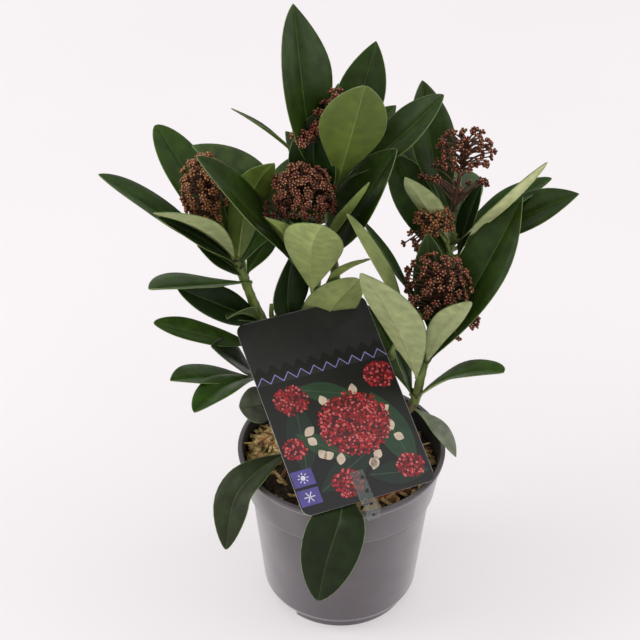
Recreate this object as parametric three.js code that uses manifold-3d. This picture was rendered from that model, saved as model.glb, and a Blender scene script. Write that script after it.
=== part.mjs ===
// A young skimmia in its plastic nursery pot, with a printed card clipped to the rim.
// Millimetres, +Z up. The origin is the centre of the pot's flat underside, and -Y is the card's side.
import * as THREE from "three";
import { mergeVertices } from "three/addons/utils/BufferGeometryUtils.js";
import Module from "manifold-3d";

const wasm = await Module();
wasm.setup();

// ---------------------------------------------------------------- driving dimensions
const GAP = 0.3; // clearance between pieces that touch
const FACET = 0.24; // how far a cut solid's small facets may be merged
const DEG = Math.PI / 180;

const POT = {
  rimRadius: 59,
  rimHeight: 104.5,
  lipHeight: 3,
  lipStep: 1.6, // how far the lip stands out from the collar
  collarTop: 57,
  collarBottom: 54,
  collarFoot: 78.5, // height of the collar's lower edge
  bodyTop: 51.6,
  bodyBottom: 44.7,
  bodyFoot: 10, // height where the body turns in to the foot
  footRadius: 39.8,
  footStep: 5.6, // height of the narrower ring it stands on
  wall: 1.6,
  base: 2.4,
  sides: 24,
};
const DRAIN = { count: 3, width: 16, depth: 5, height: 7.5, firstTurn: 219 };

const SOIL = { top: 92, crown: 1.5, slump: 1.2 }; // slump: how much lower it lies at the wall

const STEM = { foot: [-2, 6], lean: [-4, 18], tip: 120, footRadius: 5.6, tipRadius: 4.4, flare: 3 };

const CARD = {
  width: 79,
  height: 117,
  thickness: 0.8,
  corner: 5,
  lowerLeft: [-20.5, -63.9, 107.7], // its lower left corner, just over the rim
  turn: 23.2, // of the lower edge, from +X towards +Y
  lean: 60, // back from upright
};
const CLIP = { width: 8, thickness: 0.8, alongEdge: 0.465, upCard: 17, reach: 9.2, hook: 7 };

const LIMB = { sides: 6, stepsPerBend: 2 };
const BLADE = { stations: 5, thickness: 3.2, rootWidth: 4.5, arch: 0.04 }; // arch: a share of the reach
const RIM_BLADE = { stations: 10, thickness: 1.6, rootWidth: 3.4 };
const SMALL_KNOT = 10; // a knot no thicker than this needs only a few faces

const COLOURS = {
  pot: 0x8a8288,
  soil: 0x4a3626,
  wood: 0x6b5a38,
  shoot: 0x7d9440,
  foliage: 0x2f4a22,
  card: 0x2a2a2c,
  clip: 0xc8ccc8,
};

// ---------------------------------------------------------------- solids
function solidOf(geometry) {
  const bare = geometry.clone();
  for (const name of ["normal", "uv"]) bare.deleteAttribute(name);
  const merged = mergeVertices(bare, 1e-4);
  return new wasm.Manifold(
    new wasm.Mesh({
      numProp: 3,
      vertProperties: new Float32Array(merged.attributes.position.array),
      triVerts: new Uint32Array(merged.index.array),
    }),
  );
}

function geometryOf(solid) {
  const mesh = solid.getMesh();
  const geometry = new THREE.BufferGeometry();
  geometry.setAttribute("position", new THREE.BufferAttribute(mesh.vertProperties, 3));
  geometry.setIndex(new THREE.BufferAttribute(mesh.triVerts, 1));
  geometry.computeVertexNormals();
  return geometry;
}

// Cutting can leave loose chips, so only the largest body is kept.
function largest(solid) {
  return solid.decompose().reduce((a, b) => (b.volume() > a.volume() ? b : a));
}

function cut(solid, tools) {
  return largest(tools.reduce((rest, tool) => rest.subtract(tool), solid).simplify(FACET));
}

const group = new THREE.Group();

function addNode(name, solid, colour, roughness) {
  const material = new THREE.MeshStandardMaterial({ color: colour, roughness, metalness: 0 });
  const mesh = new THREE.Mesh(geometryOf(solid), material);
  mesh.name = name;
  group.add(mesh);
}

function lathe(profile, sides) {
  const points = profile.map(([radius, height]) => new THREE.Vector2(radius, height));
  return new THREE.LatheGeometry(points, sides).rotateX(Math.PI / 2);
}

// ---------------------------------------------------------------- pot
// The outer wall's radius at a height, without the collar.
function bodyRadius(height) {
  const rise = (height - POT.bodyFoot) / (POT.collarFoot - POT.bodyFoot);
  return POT.bodyBottom + (POT.bodyTop - POT.bodyBottom) * rise;
}

function potSolid() {
  const top = POT.rimHeight;
  const innerRim = POT.collarTop - POT.wall;
  const outside = [
    [0, 0],
    [POT.footRadius, 0],
    [POT.footRadius + 0.6, POT.footStep - 0.2],
    [POT.footRadius + 1.8, POT.footStep + 0.2],
    [POT.bodyBottom - 0.9, POT.bodyFoot - 2.2],
    [POT.bodyBottom, POT.bodyFoot],
    [POT.bodyTop, POT.collarFoot - 1.5],
    [POT.collarBottom, POT.collarFoot],
    [POT.collarTop, top - POT.lipHeight - 1.5],
    [POT.collarTop + POT.lipStep, top - POT.lipHeight],
    [POT.rimRadius, top],
  ];
  const inside = [
    [innerRim, top],
    [POT.collarBottom - POT.wall, POT.collarFoot],
    [POT.bodyTop - POT.wall, POT.collarFoot - 2.5],
    [POT.bodyBottom - POT.wall - 1.2, POT.bodyFoot],
    [POT.footRadius - POT.wall, POT.footStep + 0.2],
    [POT.footRadius - POT.wall - 0.4, POT.base],
    [0, POT.base],
  ];
  return cut(solidOf(lathe([...outside, ...inside], POT.sides)), drainSlots(0));
}

// The notches round the foot that let water out.
function drainSlots(grow) {
  return Array.from({ length: DRAIN.count }, (_, i) => {
    const turn = (DRAIN.firstTurn + (i * 360) / DRAIN.count) * DEG;
    const size = [2 * DRAIN.depth, DRAIN.width + 2 * grow, 2 * DRAIN.height + 2 * grow];
    const slot = new THREE.BoxGeometry(...size);
    return solidOf(slot.translate(POT.footRadius, 0, 0).rotateZ(turn));
  });
}

// The compost fills the pot to a finger's breadth under the rim, with a low uneven crown.
function soilSolid() {
  const low = POT.base + GAP;
  const side = (height) => bodyRadius(height) - POT.wall - GAP;
  const edge = SOIL.top - SOIL.slump;
  const collarSide = POT.collarBottom - POT.wall - GAP;
  const profile = [
    [0, low],
    [POT.footRadius - POT.wall - 0.9, low],
    [POT.footRadius - POT.wall - 0.6, POT.footStep + 0.4],
    [POT.bodyBottom - POT.wall - 1.8, POT.bodyFoot + GAP],
    [side(POT.collarFoot - 3) - 0.2, POT.collarFoot - 3],
    [collarSide - 0.2, POT.collarFoot + 1],
    [collarSide + 1.2, edge],
    [collarSide * 0.6, SOIL.top],
    [0, SOIL.top + SOIL.crown],
  ];
  return cut(solidOf(lathe(profile, POT.sides)), drainSlots(GAP));
}

// ---------------------------------------------------------------- stem and boughs
// A tapering round limb along a curve through the points, closed at both ends.
function limbSolid(points, radii, grow = 0) {
  const curve = new THREE.CatmullRomCurve3(points.map((p) => new THREE.Vector3(...p)));
  const steps = LIMB.stepsPerBend * (points.length - 1);
  const frames = curve.computeFrenetFrames(steps);
  const rings = [];
  for (let i = 0; i <= steps; i++) {
    const share = i / steps;
    const place = share * (radii.length - 1);
    const low = Math.min(Math.floor(place), radii.length - 2);
    const radius = radii[low] + (radii[low + 1] - radii[low]) * (place - low) + grow;
    const centre = curve.getPoint(share);
    rings.push(
      Array.from({ length: LIMB.sides }, (_, k) => {
        const angle = (2 * Math.PI * k) / LIMB.sides;
        return centre
          .clone()
          .addScaledVector(frames.normals[i], radius * Math.cos(angle))
          .addScaledVector(frames.binormals[i], radius * Math.sin(angle));
      }),
    );
  }
  const start = curve.getPoint(0).addScaledVector(curve.getTangent(0), -grow);
  const end = curve.getPoint(1).addScaledVector(curve.getTangent(1), grow);
  return ringSolid(rings, start, end);
}

// A closed skin over rings of equal count, with a point at each end.
function ringSolid(rings, start, end) {
  const positions = [start, ...rings.flat(), end].flatMap((p) => [p.x, p.y, p.z]);
  const sides = rings[0].length;
  const last = rings.length * sides + 1;
  const at = (ring, side) => 1 + ring * sides + (side % sides);
  const faces = [];
  for (let k = 0; k < sides; k++) {
    faces.push(0, at(0, k + 1), at(0, k));
    faces.push(last, at(rings.length - 1, k), at(rings.length - 1, k + 1));
    for (let r = 0; r + 1 < rings.length; r++) {
      faces.push(at(r, k), at(r, k + 1), at(r + 1, k + 1));
      faces.push(at(r, k), at(r + 1, k + 1), at(r + 1, k));
    }
  }
  const geometry = new THREE.BufferGeometry();
  geometry.setAttribute("position", new THREE.Float32BufferAttribute(positions, 3));
  geometry.setIndex(faces);
  return solidOf(geometry);
}

// The short woody stem stands on the compost with a flat cut and flares a little at its foot.
function stemSolid(grow = 0) {
  const foot = SOIL.top + SOIL.crown + GAP;
  const points = [
    [STEM.foot[0], STEM.foot[1], foot - 1],
    [STEM.foot[0], STEM.foot[1] + 1, foot + 5],
    [(STEM.foot[0] + STEM.lean[0]) / 2, (STEM.foot[1] + STEM.lean[1]) / 2, (foot + STEM.tip) / 2],
    [...STEM.lean, STEM.tip],
  ];
  const radii = [STEM.footRadius + STEM.flare, STEM.footRadius, STEM.footRadius - 0.5, STEM.tipRadius];
  const whole = limbSolid(points, radii, grow);
  const below = new THREE.BoxGeometry(60, 60, 20).translate(STEM.foot[0], STEM.foot[1], foot - 10 - grow);
  return whole.subtract(solidOf(below));
}

// Each bough runs from the stem through its bends to the whorl of leaves it carries.
const BOUGHS = {
  bough_left: {
    route: [[-3, 15, 112], [-26, 34, 134], [-45, 43, 158], [-53, 43, 182], [-60, 42, 204]],
    from: 3.4,
    to: 2.2,
  },
  bough_centre: {
    route: [[-4, 17, 117], [-8, 38, 136], [-14, 56, 163], [-18, 51, 190], [-20, 43, 222]],
    from: 3.3,
    to: 2.0,
  },
  bough_top: {
    route: [[-2, 20, 116], [2, 50, 142], [-4, 66, 176], [-8, 62, 220], [-12, 56, 254]],
    from: 3.3,
    to: 2.0,
  },
  bough_right: {
    route: [[0, 12, 104], [20, 12, 111], [39, 11, 124], [44, 11, 146], [48, 13, 172]],
    from: 3.4,
    to: 2.2,
  },
  bough_right_high: {
    route: [[-1, 18, 113], [22, 30, 136], [44, 42, 166], [56, 47, 196], [62, 48, 218]],
    from: 3.2,
    to: 2.0,
  },
  bough_back_left: {
    route: [[-4, 20, 113], [-32, 44, 133], [-50, 59, 160], [-57, 67, 180], [-57, 70, 196]],
    from: 3.1,
    to: 2.0,
  },
  bough_back: {
    route: [[-3, 20, 110], [-12, 58, 134], [-14, 80, 168], [-1, 79, 206]],
    from: 3.1,
    to: 2.0,
  },
  bough_back_right: {
    route: [[0, 18, 108], [28, 46, 128], [50, 68, 160], [56, 76, 200]],
    from: 3.1,
    to: 2.0,
  },
};

// ---------------------------------------------------------------- masses of foliage
// Each mass is a knot of leaf bases and flower heads with its outer leaves standing out of it.
// A leaf is given by its root, the compass turn and climb of its line, its reach and width, and its roll.
const leaf = (root, turn, climb, reach, width, roll = 0) => ({ root, turn, climb, reach, width, roll });

const MASSES = {
  foliage_left: {
    knots: [
      { at: [-60, 42, 204], size: [9, 9, 12] },
      { at: [-75, 44, 248], size: [15, 13, 25] },
      { at: [-67, 43, 225], size: [9, 9, 14] },
    ],
    leaves: [
      leaf([-61, 42, 200], 177, 38, 91, 27),
      leaf([-60, 42, 202], -139, 45, 78, 25, -10),
      leaf([-61, 44, 203], 137, 46, 85, 26, 10),
      leaf([-60, 42, 202], 110, 40, 70, 25),
      leaf([-58, 41, 204], -29, 71, 74, 20, 60),
      leaf([-58, 42, 198], 60, 15, 62, 22),
    ],
  },
  foliage_lower_left: {
    knots: [
      { at: [-47, 42, 158], size: [8.5, 8.5, 11] },
      { at: [-50, 36, 143], size: [8.5, 10, 13] },
      { at: [-49, 28, 131], size: [8, 9, 9] },
      { at: [-52, 43, 178], size: [7, 7, 17] },
    ],
    leaves: [
      leaf([-51, 42, 188], -144, 19, 70, 27, -12),
      leaf([-46, 44, 159], -160, 36, 60, 21, 46),
      leaf([-52, 38, 147], -157, 29, 65, 18, 21),
      leaf([-51, 30, 130], -133, 28, 71, 23, 3),
      leaf([-50, 21, 136], -117, 19, 69, 22, -3),
      leaf([-48, 44, 150], 40, -10, 60, 22),
    ],
  },
  foliage_centre: {
    knots: [
      { at: [-17, 48, 182], size: [10, 9, 14] },
      { at: [-22, 38, 250], size: [20, 16, 19] },
      { at: [-19, 44, 214], size: [11, 10, 22] },
    ],
    leaves: [
      leaf([-17, 44, 180], -85, 54, 107, 33, 18),
      leaf([-15, 60, 137], -44, 60, 66, 28, 41),
      leaf([-13, 48, 198], -11, 62, 89, 34, -33),
      leaf([-21, 46, 188], -155, 57, 114, 27, 28),
      leaf([-28, 46, 223], 169, 39, 70, 25, 18),
      leaf([-13, 44, 209], -38, 60, 66, 20),
      leaf([-22, 44, 192], -122, 58, 69, 20, -3),
    ],
  },
  foliage_top: {
    knots: [
      { at: [-10, 54, 250], size: [11, 9, 17] },
      { at: [-6, 54, 281], size: [19, 12, 21] },
    ],
    leaves: [
      leaf([-18, 54, 257], 108, 69, 88, 34, -32),
      leaf([-8, 56, 250], 47, 62, 77, 27, -32),
      leaf([-5, 50, 241], -70, 65, 100, 34, 22),
      leaf([-2, 54, 246], 2, 45, 77, 25, -23),
      leaf([-14, 58, 246], -175, 45, 66, 12, -16),
      leaf([-12, 60, 248], 100, 28, 72, 26),
      leaf([-8, 60, 246], 60, 0, 66, 24),
    ],
  },
  foliage_right: {
    knots: [
      { at: [47, 12, 168], size: [10, 9, 18] },
      { at: [53, 16, 197], size: [20, 15, 25] },
    ],
    leaves: [
      leaf([42, 10, 151], -137, 63, 101, 31, -20),
      leaf([47, 10, 157], -47, 63, 64, 19, 31),
      leaf([48, 14, 154], 29, 59, 108, 31, -15),
      leaf([46, 14, 166], 175, 62, 95, 26, -31),
      leaf([48, 15, 182], 155, 52, 69, 12, -13),
      leaf([50, 17, 168], 85, 20, 66, 22),
    ],
  },
  foliage_low_right: {
    knots: [{ at: [41, 11, 131], size: [8.5, 8.5, 9] }],
    leaves: [
      leaf([41, 10, 130], -23, 35, 62, 20, 7),
      leaf([40, 10, 124], -38, -33, 37, 13),
      leaf([40, 13, 130], 115, 20, 66, 23),
    ],
  },
  foliage_right_high: {
    knots: [
      { at: [62, 48, 214], size: [10, 9, 16] },
      { at: [67, 52, 264], size: [15, 13, 14] },
      { at: [64, 50, 238], size: [6, 6, 16] },
      { at: [50, 39, 231], size: [13, 11, 13] },
    ],
    leaves: [
      leaf([64, 53, 215], 130, 67, 88, 29, 5),
      leaf([59, 46, 203], 154, 57, 67, 25, 44),
      leaf([64, 46, 214], -29, 54, 81, 22, 16),
      leaf([65, 50, 213], 12, 33, 60, 19, -1),
      leaf([64, 55, 203], -15, 36, 80, 26, -26),
      leaf([58, 44, 216], -142, 58, 63, 18, -30),
      leaf([64, 52, 212], 85, 0, 72, 26),
      leaf([60, 54, 212], 118, 22, 72, 26),
    ],
  },
  foliage_back_left: {
    knots: [
      { at: [-57, 70, 198], size: [9, 9, 14] },
      { at: [-57, 72, 216], size: [13, 13, 15] },
    ],
    leaves: [
      leaf([-56, 70, 192], 100, 10, 74, 25),
      leaf([-56, 70, 188], 60, -10, 70, 24),
      leaf([-56, 70, 194], 125, 28, 72, 25),
      leaf([-56, 70, 198], 42, 30, 72, 24),
      leaf([-56, 70, 200], 155, 48, 66, 22),
    ],
  },
  foliage_back: {
    knots: [
      { at: [-1, 79, 206], size: [9, 9, 16] },
      { at: [0, 82, 232], size: [15, 14, 18] },
    ],
    leaves: [
      leaf([0, 78, 206], 82, 40, 80, 26),
      leaf([0, 78, 200], 98, 14, 76, 26),
      leaf([0, 78, 210], 96, 66, 74, 24),
      leaf([0, 78, 196], 88, -14, 72, 24),
      leaf([0, 78, 200], 158, 4, 70, 24),
      leaf([0, 78, 204], 62, 26, 66, 22),
    ],
  },
  foliage_back_right: {
    knots: [
      { at: [56, 76, 200], size: [9, 9, 15] },
      { at: [57, 78, 224], size: [13, 12, 15] },
    ],
    leaves: [
      leaf([56, 76, 198], 102, 30, 74, 25),
      leaf([56, 76, 202], 128, 42, 70, 24),
      leaf([56, 76, 194], 98, -6, 72, 24),
      leaf([56, 76, 192], 40, -12, 66, 23),
      leaf([56, 76, 200], 150, 50, 46, 21),
    ],
  },
};

// Low leaves that rise from the stem's foot and hang over the rim, each a curved blade of its own.
const RIM_LEAVES = {
  rim_leaf_left: {
    route: [[-5, 5, 104], [-34, -15, 108.5], [-50, -31, 107.5], [-60, -41, 97], [-64, -56, 76]],
    width: 25,
  },
  rim_leaf_front: {
    route: [[-1, 2, 100], [1, -30, 104.5], [0, -54, 106.1], [-2, -64, 103], [-8, -72, 84], [-13, -80, 61]],
    width: 31,
  },
};

// How wide a leaf is along its length, as a share of its full width: narrow foot, widest past the middle.
function leafWidth(share) {
  return Math.pow(Math.sin(Math.PI * Math.pow(share, 1.25)), 0.8);
}

// The level line across a leaf that runs along line, turned about it by the leaf's roll.
function acrossLeaf(line, roll) {
  const level = new THREE.Vector3(0, 0, 1).cross(line);
  const across = level.lengthSq() > 1e-6 ? level.normalize() : new THREE.Vector3(1, 0, 0);
  return across.applyAxisAngle(line, -roll * DEG);
}

// A thin lens-shaped blade along a curve, with its breadth along the vector across.
function bladeSolid(curve, across, width, form, grow) {
  const rings = [];
  for (let i = 1; i < form.stations; i++) {
    const share = i / form.stations;
    const centre = curve.getPoint(share);
    const normal = curve.getTangent(share).cross(across).normalize();
    const half = Math.max(width * leafWidth(share), form.rootWidth) / 2 + grow;
    const thick = form.thickness / 2 + grow;
    rings.push([
      centre.clone().addScaledVector(across, half),
      centre.clone().addScaledVector(normal, thick),
      centre.clone().addScaledVector(across, -half),
      centre.clone().addScaledVector(normal, -thick),
    ]);
  }
  const end = curve.getPoint(1).addScaledVector(curve.getTangent(1), grow);
  return ringSolid(rings, curve.getPoint(0), end);
}

// A leaf of a mass: its line arches towards its upper side by a share of its reach.
function leafSolid({ root, turn, climb, reach, width, roll }, grow) {
  const line = new THREE.Vector3(
    Math.cos(climb * DEG) * Math.cos(turn * DEG),
    Math.cos(climb * DEG) * Math.sin(turn * DEG),
    Math.sin(climb * DEG),
  );
  const across = acrossLeaf(line, roll);
  const upper = line.clone().cross(across).normalize();
  const start = new THREE.Vector3(...root);
  const bend = start
    .clone()
    .addScaledVector(line, reach / 2)
    .addScaledVector(upper, 2 * BLADE.arch * reach);
  const tip = start.clone().addScaledVector(line, reach);
  return bladeSolid(new THREE.QuadraticBezierCurve3(start, bend, tip), across, width, BLADE, grow);
}

function rimLeafSolid({ route, width }, grow = 0) {
  const curve = new THREE.CatmullRomCurve3(route.map((p) => new THREE.Vector3(...p)));
  const line = curve.getPoint(1).sub(curve.getPoint(0)).normalize();
  return bladeSolid(curve, acrossLeaf(line, 0), width, RIM_BLADE, grow);
}

// An uneven rounded lump: an icosphere whose radius swells and dips, with fewer faces on the small ones.
function knotSolid({ at, size }, grow) {
  const ball = new THREE.IcosahedronGeometry(1, size[0] > SMALL_KNOT ? 1 : 0);
  const place = ball.getAttribute("position");
  for (let i = 0; i < place.count; i++) {
    const [x, y, z] = [place.getX(i), place.getY(i), place.getZ(i)];
    const swell = 1 + 0.09 * Math.sin(5 * x + 2) * Math.cos(4 * y + 1) + 0.06 * Math.sin(6 * z);
    place.setXYZ(
      i,
      at[0] + x * swell * (size[0] + grow),
      at[1] + y * swell * (size[1] + grow),
      at[2] + z * swell * (size[2] + grow),
    );
  }
  return solidOf(ball);
}

function massSolid({ knots, leaves }, grow = 0) {
  const pieces = [...knots.map((knot) => knotSolid(knot, grow)), ...leaves.map((each) => leafSolid(each, grow))];
  return pieces.reduce((all, piece) => all.add(piece));
}

// ---------------------------------------------------------------- card and clip
// The card's frame: its lower left corner, with X along the lower edge, Y up the card and Z out of its face.
const cardFrame = new THREE.Matrix4()
  .makeTranslation(...CARD.lowerLeft)
  .multiply(new THREE.Matrix4().makeRotationZ(CARD.turn * DEG))
  .multiply(new THREE.Matrix4().makeRotationX((90 - CARD.lean) * DEG));

function cardSolid(grow = 0) {
  const { width, height, corner } = CARD;
  const outline = new THREE.Shape();
  outline.moveTo(corner - grow, -grow);
  outline.lineTo(width - corner, -grow);
  outline.absarc(width - corner, corner, corner + grow, -Math.PI / 2, 0);
  outline.absarc(width - corner, height - corner, corner + grow, 0, Math.PI / 2);
  outline.absarc(corner, height - corner, corner + grow, Math.PI / 2, Math.PI);
  outline.absarc(corner, corner, corner + grow, Math.PI, 1.5 * Math.PI);
  const depth = CARD.thickness + 2 * grow;
  const plate = new THREE.ExtrudeGeometry(outline, { depth, bevelEnabled: false, curveSegments: 2 });
  return solidOf(plate.translate(0, 0, -depth / 2).applyMatrix4(cardFrame));
}

// A bent strip that lies on the card's face, runs out over the rim and hooks down outside it.
function clipSolid(grow = 0) {
  const slope = (90 - CARD.lean) * DEG;
  const lift = CARD.thickness / 2 + GAP;
  const thick = CLIP.thickness;
  const up = [Math.cos(slope), Math.sin(slope)];
  const out = [-Math.sin(slope), Math.cos(slope)];
  const along = (a, b) => new THREE.Vector2(up[0] * a + out[0] * b, up[1] * a + out[1] * b);
  const flat = along(0, lift).y;
  const overRim = POT.rimHeight + GAP + 0.1 - CARD.lowerLeft[2];
  const shelf = Math.max(flat, overRim);
  const points = [
    along(CLIP.upCard, lift),
    new THREE.Vector2(along(0, lift).x, shelf),
    new THREE.Vector2(-CLIP.reach, shelf),
    new THREE.Vector2(-CLIP.reach, shelf - CLIP.hook),
    new THREE.Vector2(-CLIP.reach - thick, shelf - CLIP.hook),
    new THREE.Vector2(-CLIP.reach - thick, shelf + thick),
    new THREE.Vector2(along(0, lift + thick).x, shelf + thick),
    along(CLIP.upCard, lift + thick),
  ];
  const strip = new THREE.ExtrudeGeometry(new THREE.Shape(points), {
    depth: CLIP.width + 2 * grow,
    bevelEnabled: false,
  });
  // The profile is drawn in the upright plane square to the card's lower edge.
  strip.rotateX(Math.PI / 2).rotateZ(Math.PI / 2);
  strip.translate(CARD.width * CLIP.alongEdge - CLIP.width / 2 - grow, 0, 0);
  strip.rotateZ(CARD.turn * DEG).translate(...CARD.lowerLeft);
  return solidOf(strip);
}

// ---------------------------------------------------------------- assembly
addNode("pot", potSolid(), COLOURS.pot, 0.55);
addNode("soil", soilSolid(), COLOURS.soil, 0.95);
addNode("plant_card", cardSolid(), COLOURS.card, 0.35);
addNode("card_clip", clipSolid(), COLOURS.clip, 0.25);
addNode("main_stem", stemSolid(), COLOURS.wood, 0.8);

const fixed = [stemSolid(GAP), cardSolid(GAP), clipSolid(GAP)];
const wood = [];
for (const [name, { route, from, to }] of Object.entries(BOUGHS)) {
  addNode(name, cut(limbSolid(route, [from, to]), [...fixed, ...wood]), COLOURS.shoot, 0.6);
  wood.push(limbSolid(route, [from, to], GAP));
}

const placed = [];
for (const [name, shape] of Object.entries(RIM_LEAVES)) {
  addNode(name, cut(rimLeafSolid(shape), [...fixed, ...wood, ...placed]), COLOURS.foliage, 0.4);
  placed.push(rimLeafSolid(shape, GAP));
}
for (const [name, mass] of Object.entries(MASSES)) {
  addNode(name, cut(massSolid(mass), [...fixed, ...wood, ...placed]), COLOURS.foliage, 0.4);
  placed.push(massSolid(mass, GAP));
}

export default group;
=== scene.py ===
# A young skimmia in its plastic nursery pot, with a printed card clipped to the rim.
# Shapes are worked out in millimetres in the frame of the CAD model, and become metres in Soup.piece.
import math
import random
from collections import namedtuple

import bpy
from mathutils import Matrix, Vector, noise


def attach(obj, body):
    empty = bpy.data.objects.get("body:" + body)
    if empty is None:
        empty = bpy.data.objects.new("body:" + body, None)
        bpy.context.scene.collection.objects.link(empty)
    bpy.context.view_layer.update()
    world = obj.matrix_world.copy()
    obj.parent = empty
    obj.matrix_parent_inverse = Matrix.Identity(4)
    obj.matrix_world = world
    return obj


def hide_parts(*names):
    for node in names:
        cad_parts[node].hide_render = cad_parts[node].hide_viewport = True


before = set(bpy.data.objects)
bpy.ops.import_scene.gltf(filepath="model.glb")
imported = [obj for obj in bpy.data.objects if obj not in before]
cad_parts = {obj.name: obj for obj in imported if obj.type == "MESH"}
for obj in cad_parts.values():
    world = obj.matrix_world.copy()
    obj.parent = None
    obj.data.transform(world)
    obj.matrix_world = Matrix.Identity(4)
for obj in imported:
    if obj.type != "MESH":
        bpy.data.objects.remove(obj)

MM = 0.001
UP = Vector((0, 0, 1))
GOLDEN_TURN = math.pi * (3 - math.sqrt(5))
NEAR = 0.02  # the share of a curve, to either side, over which its heading is taken
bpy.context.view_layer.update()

# ---------------------------------------------------------------- driving dimensions, in mm
POT = {
    "rim_radius": 59.0,
    "rim_height": 104.5,
    "lip_height": 3.0,
    "lip_step": 1.6,
    "collar_top": 57.0,
    "collar_bottom": 54.0,
    "collar_foot": 78.5,
    "ledge": 1.5,  # the height over which the collar and the lip step out
    "body_top": 51.6,
    "body_bottom": 44.7,
    "body_foot": 10.0,
    "foot_radius": 39.8,
    "foot_step": 5.6,
    "groove": 0.8,
    "wall": 1.2,
    "base": 2.0,
    "corner": 0.7,
    "sides": 144,
}
DRAIN = {
    "count": 3,
    "first_turn": 219.0,
    "width": 16.0,
    "depth": 5.0,
    "past": 4.0,  # how far the cutting block stands out from the foot
    "height": 7.5,
    "roof_fall": 1.5,
}

COMPOST = {"top": 92.0, "crown": 1.5, "slump": 1.2, "gap": 0.3, "rings": 44, "spokes": 110, "lumps": 2.4}
HEAP = {"at": (-47.0, 12.0), "spread": 15.0, "stretch": 1.5, "rise": 5.0}
CHIPS = {
    "count": 330,
    "heap_every": 3,
    "length": (6.0, 14.0),
    "width": (2.4, 5.2),
    "thickness": (0.7, 1.6),
    "lift": (0.2, 1.6),
    "clear": 2.5,
}
CHIP_SECTION = ((-1, -0.3), (-0.8, 0.8), (0.7, 1.0), (1, -0.2), (0.4, -1.0), (-0.5, -0.9))
CHIP_MIX = ["chip_pale", "chip_tan", "chip_brown", "chip_straw", "chip_straw"]
ORANGE_CHIPS = {
    "at": ((24, -31), (29, -28), (33, -26), (37, -23)),
    "way": (0.86, 0.45, 0.05),
    "size": (7, 2.2, 1.2),
    "lift": 1.2,
}
STRAW_RADIUS = 0.55
STRAWS = (
    ((-44, 6, 97), (-57, 3, 103)),
    ((-38, -14, 95), (-50, -20, 97)),
    ((38, 4, 95), (51, 10, 98)),
    ((30, -20, 94), (46, -12, 97)),
    ((-30, -30, 94), (-18, -38, 95)),
    ((-36, 20, 95), (-47, 26, 97)),
)
MOSS = {"at": (-44, 1), "spread": 4.5, "count": 60, "length": (2.2, 3.4), "radii": (0.35, 0.45, 0.1)}

CARD = {
    "width": 79.0,
    "height": 117.0,
    "thickness": 0.6,
    "corner": 5.0,
    "lower_left": (-20.5, -63.9, 107.7),
    "turn": 23.2,
    "lean": 60.0,
}
FACE = CARD["thickness"] / 2  # the printed face's height over the card's middle

# The print, measured on the card from its lower left corner.
PRINT = {
    "ink": 0.05,  # the thickness of one coat
    "level": 78.5,
    "teeth": 10,
    "tooth": 4.6,
    "line": 0.5,
    "shadow": 6.5,
    "edge_line": 0.35,
    "inset": 0.8,
}
PICTURE_TOP = PRINT["level"] - 0.4
SQUARES = {"left": 0.6, "right": 13.0, "height": 9.4, "lows": (16.5, 5.3)}
SUN = {"at": (6.8, 21.2), "disc": 1.4, "rays": 8, "ray": (2.1, 3.1), "line": 0.5}
STAR = {"at": (6.8, 10.0), "bars": 3, "bar": 3.1, "line": 0.55}
PRINTED_LEAVES = (  # middle, turn, length, width
    ((14, 44), 80, 44, 17),
    ((66, 34), 100, 52, 19),
    ((34, 20), 25, 46, 15),
    ((36, 66), -20, 34, 12),
    ((60, 10), 170, 36, 14),
    ((24, 36), 140, 34, 12),
)
PETALS = {"count": 14, "round": (44, 42), "away": (19, 27), "length": (6, 10), "width": 5}
PRINTED_HEADS = (  # middle, spread, number of berries
    ((46, 44), 21, 900),
    ((16, 66), 10, 210),
    ((70, 68), 9, 170),
    ((30, 12), 9, 170),
    ((68, 12), 8, 130),
    ((8, 38), 7, 100),
)
BERRIES = {
    "radius": (0.55, 0.9),
    "rise": 0.06,
    "mix": ("ink_red", "ink_red", "ink_red_dark", "ink_red_dark", "ink_pink"),
    "clear_of": (14.5, 27),  # the corner that the two squares fill
}
CLIP = {
    "width": 8.0,
    "thickness": 0.7,
    "along_edge": 0.465,
    "up_card": 17.0,
    "gap": 0.3,
    "over_rim": 0.4,
    "reach": 9.2,
    "hook": 7.0,
    "bend": 1.6,
}
STUD = {"radius": 1.0, "height": 0.4, "sides": 16}

LEAF = {
    "rows": 22,
    "last_row": 0.992,
    "thickness": 0.55,
    "fold": 14.0,  # degrees that each half rises from the midrib
    "margin": 0.35,
    "rib": 0.5,
    "rib_depth": 0.3,
    "petiole": 1.15,
    "stalk": 1.5,  # the radius of a long stalk where it leaves its bough
    "stalk_from": 1.2,  # leaves that stand further than this from the wood have one
    "vein_sweep": 0.09,  # how far towards the tip a side vein runs, as a share of the length
    "quilting": 0.10,
    "wave": 0.35,
    "waves": 1.7,
}
# The finish of each strip round a leaf's section, from one margin over the top and back underneath.
LEAF_STRIPS = ["margin", *["top"] * 3, "rib_top", "rib_top", *["top"] * 3, "margin",
               "margin", *["back"] * 3, "rib_back", "rib_back", *["back"] * 3, "margin"]
LIMB = {
    "sides": 16,
    "step": 1.6,
    "ridge": 0.05,
    "grain": 2.72,  # how fine the ridges are round a limb
    "grain_along": 0.153,  # and along it
    "apart": 12.41,  # how far the limbs lie from one another in the noise
    "node_every": 13.0,
    "node_swell": 0.10,
    "bark_top": 126.0,  # brown bark ends and green shoot begins at about this height
    "bark_waver": 8.0,
}
BUD = {
    "radius": 0.84,
    "sizes": (0.8, 1.12),
    "long": 1.15,
    "point": 1.08,
    "sides": 7,
    "rings": (32, 72, 114, 150),  # in degrees from its foot
}
STALK = {"axis": 1.4, "branch": 0.55, "arch": 0.12, "pedicel": 0.28, "reach": (1.4, 2.2), "lean": (0.7, 1.5)}
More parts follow.
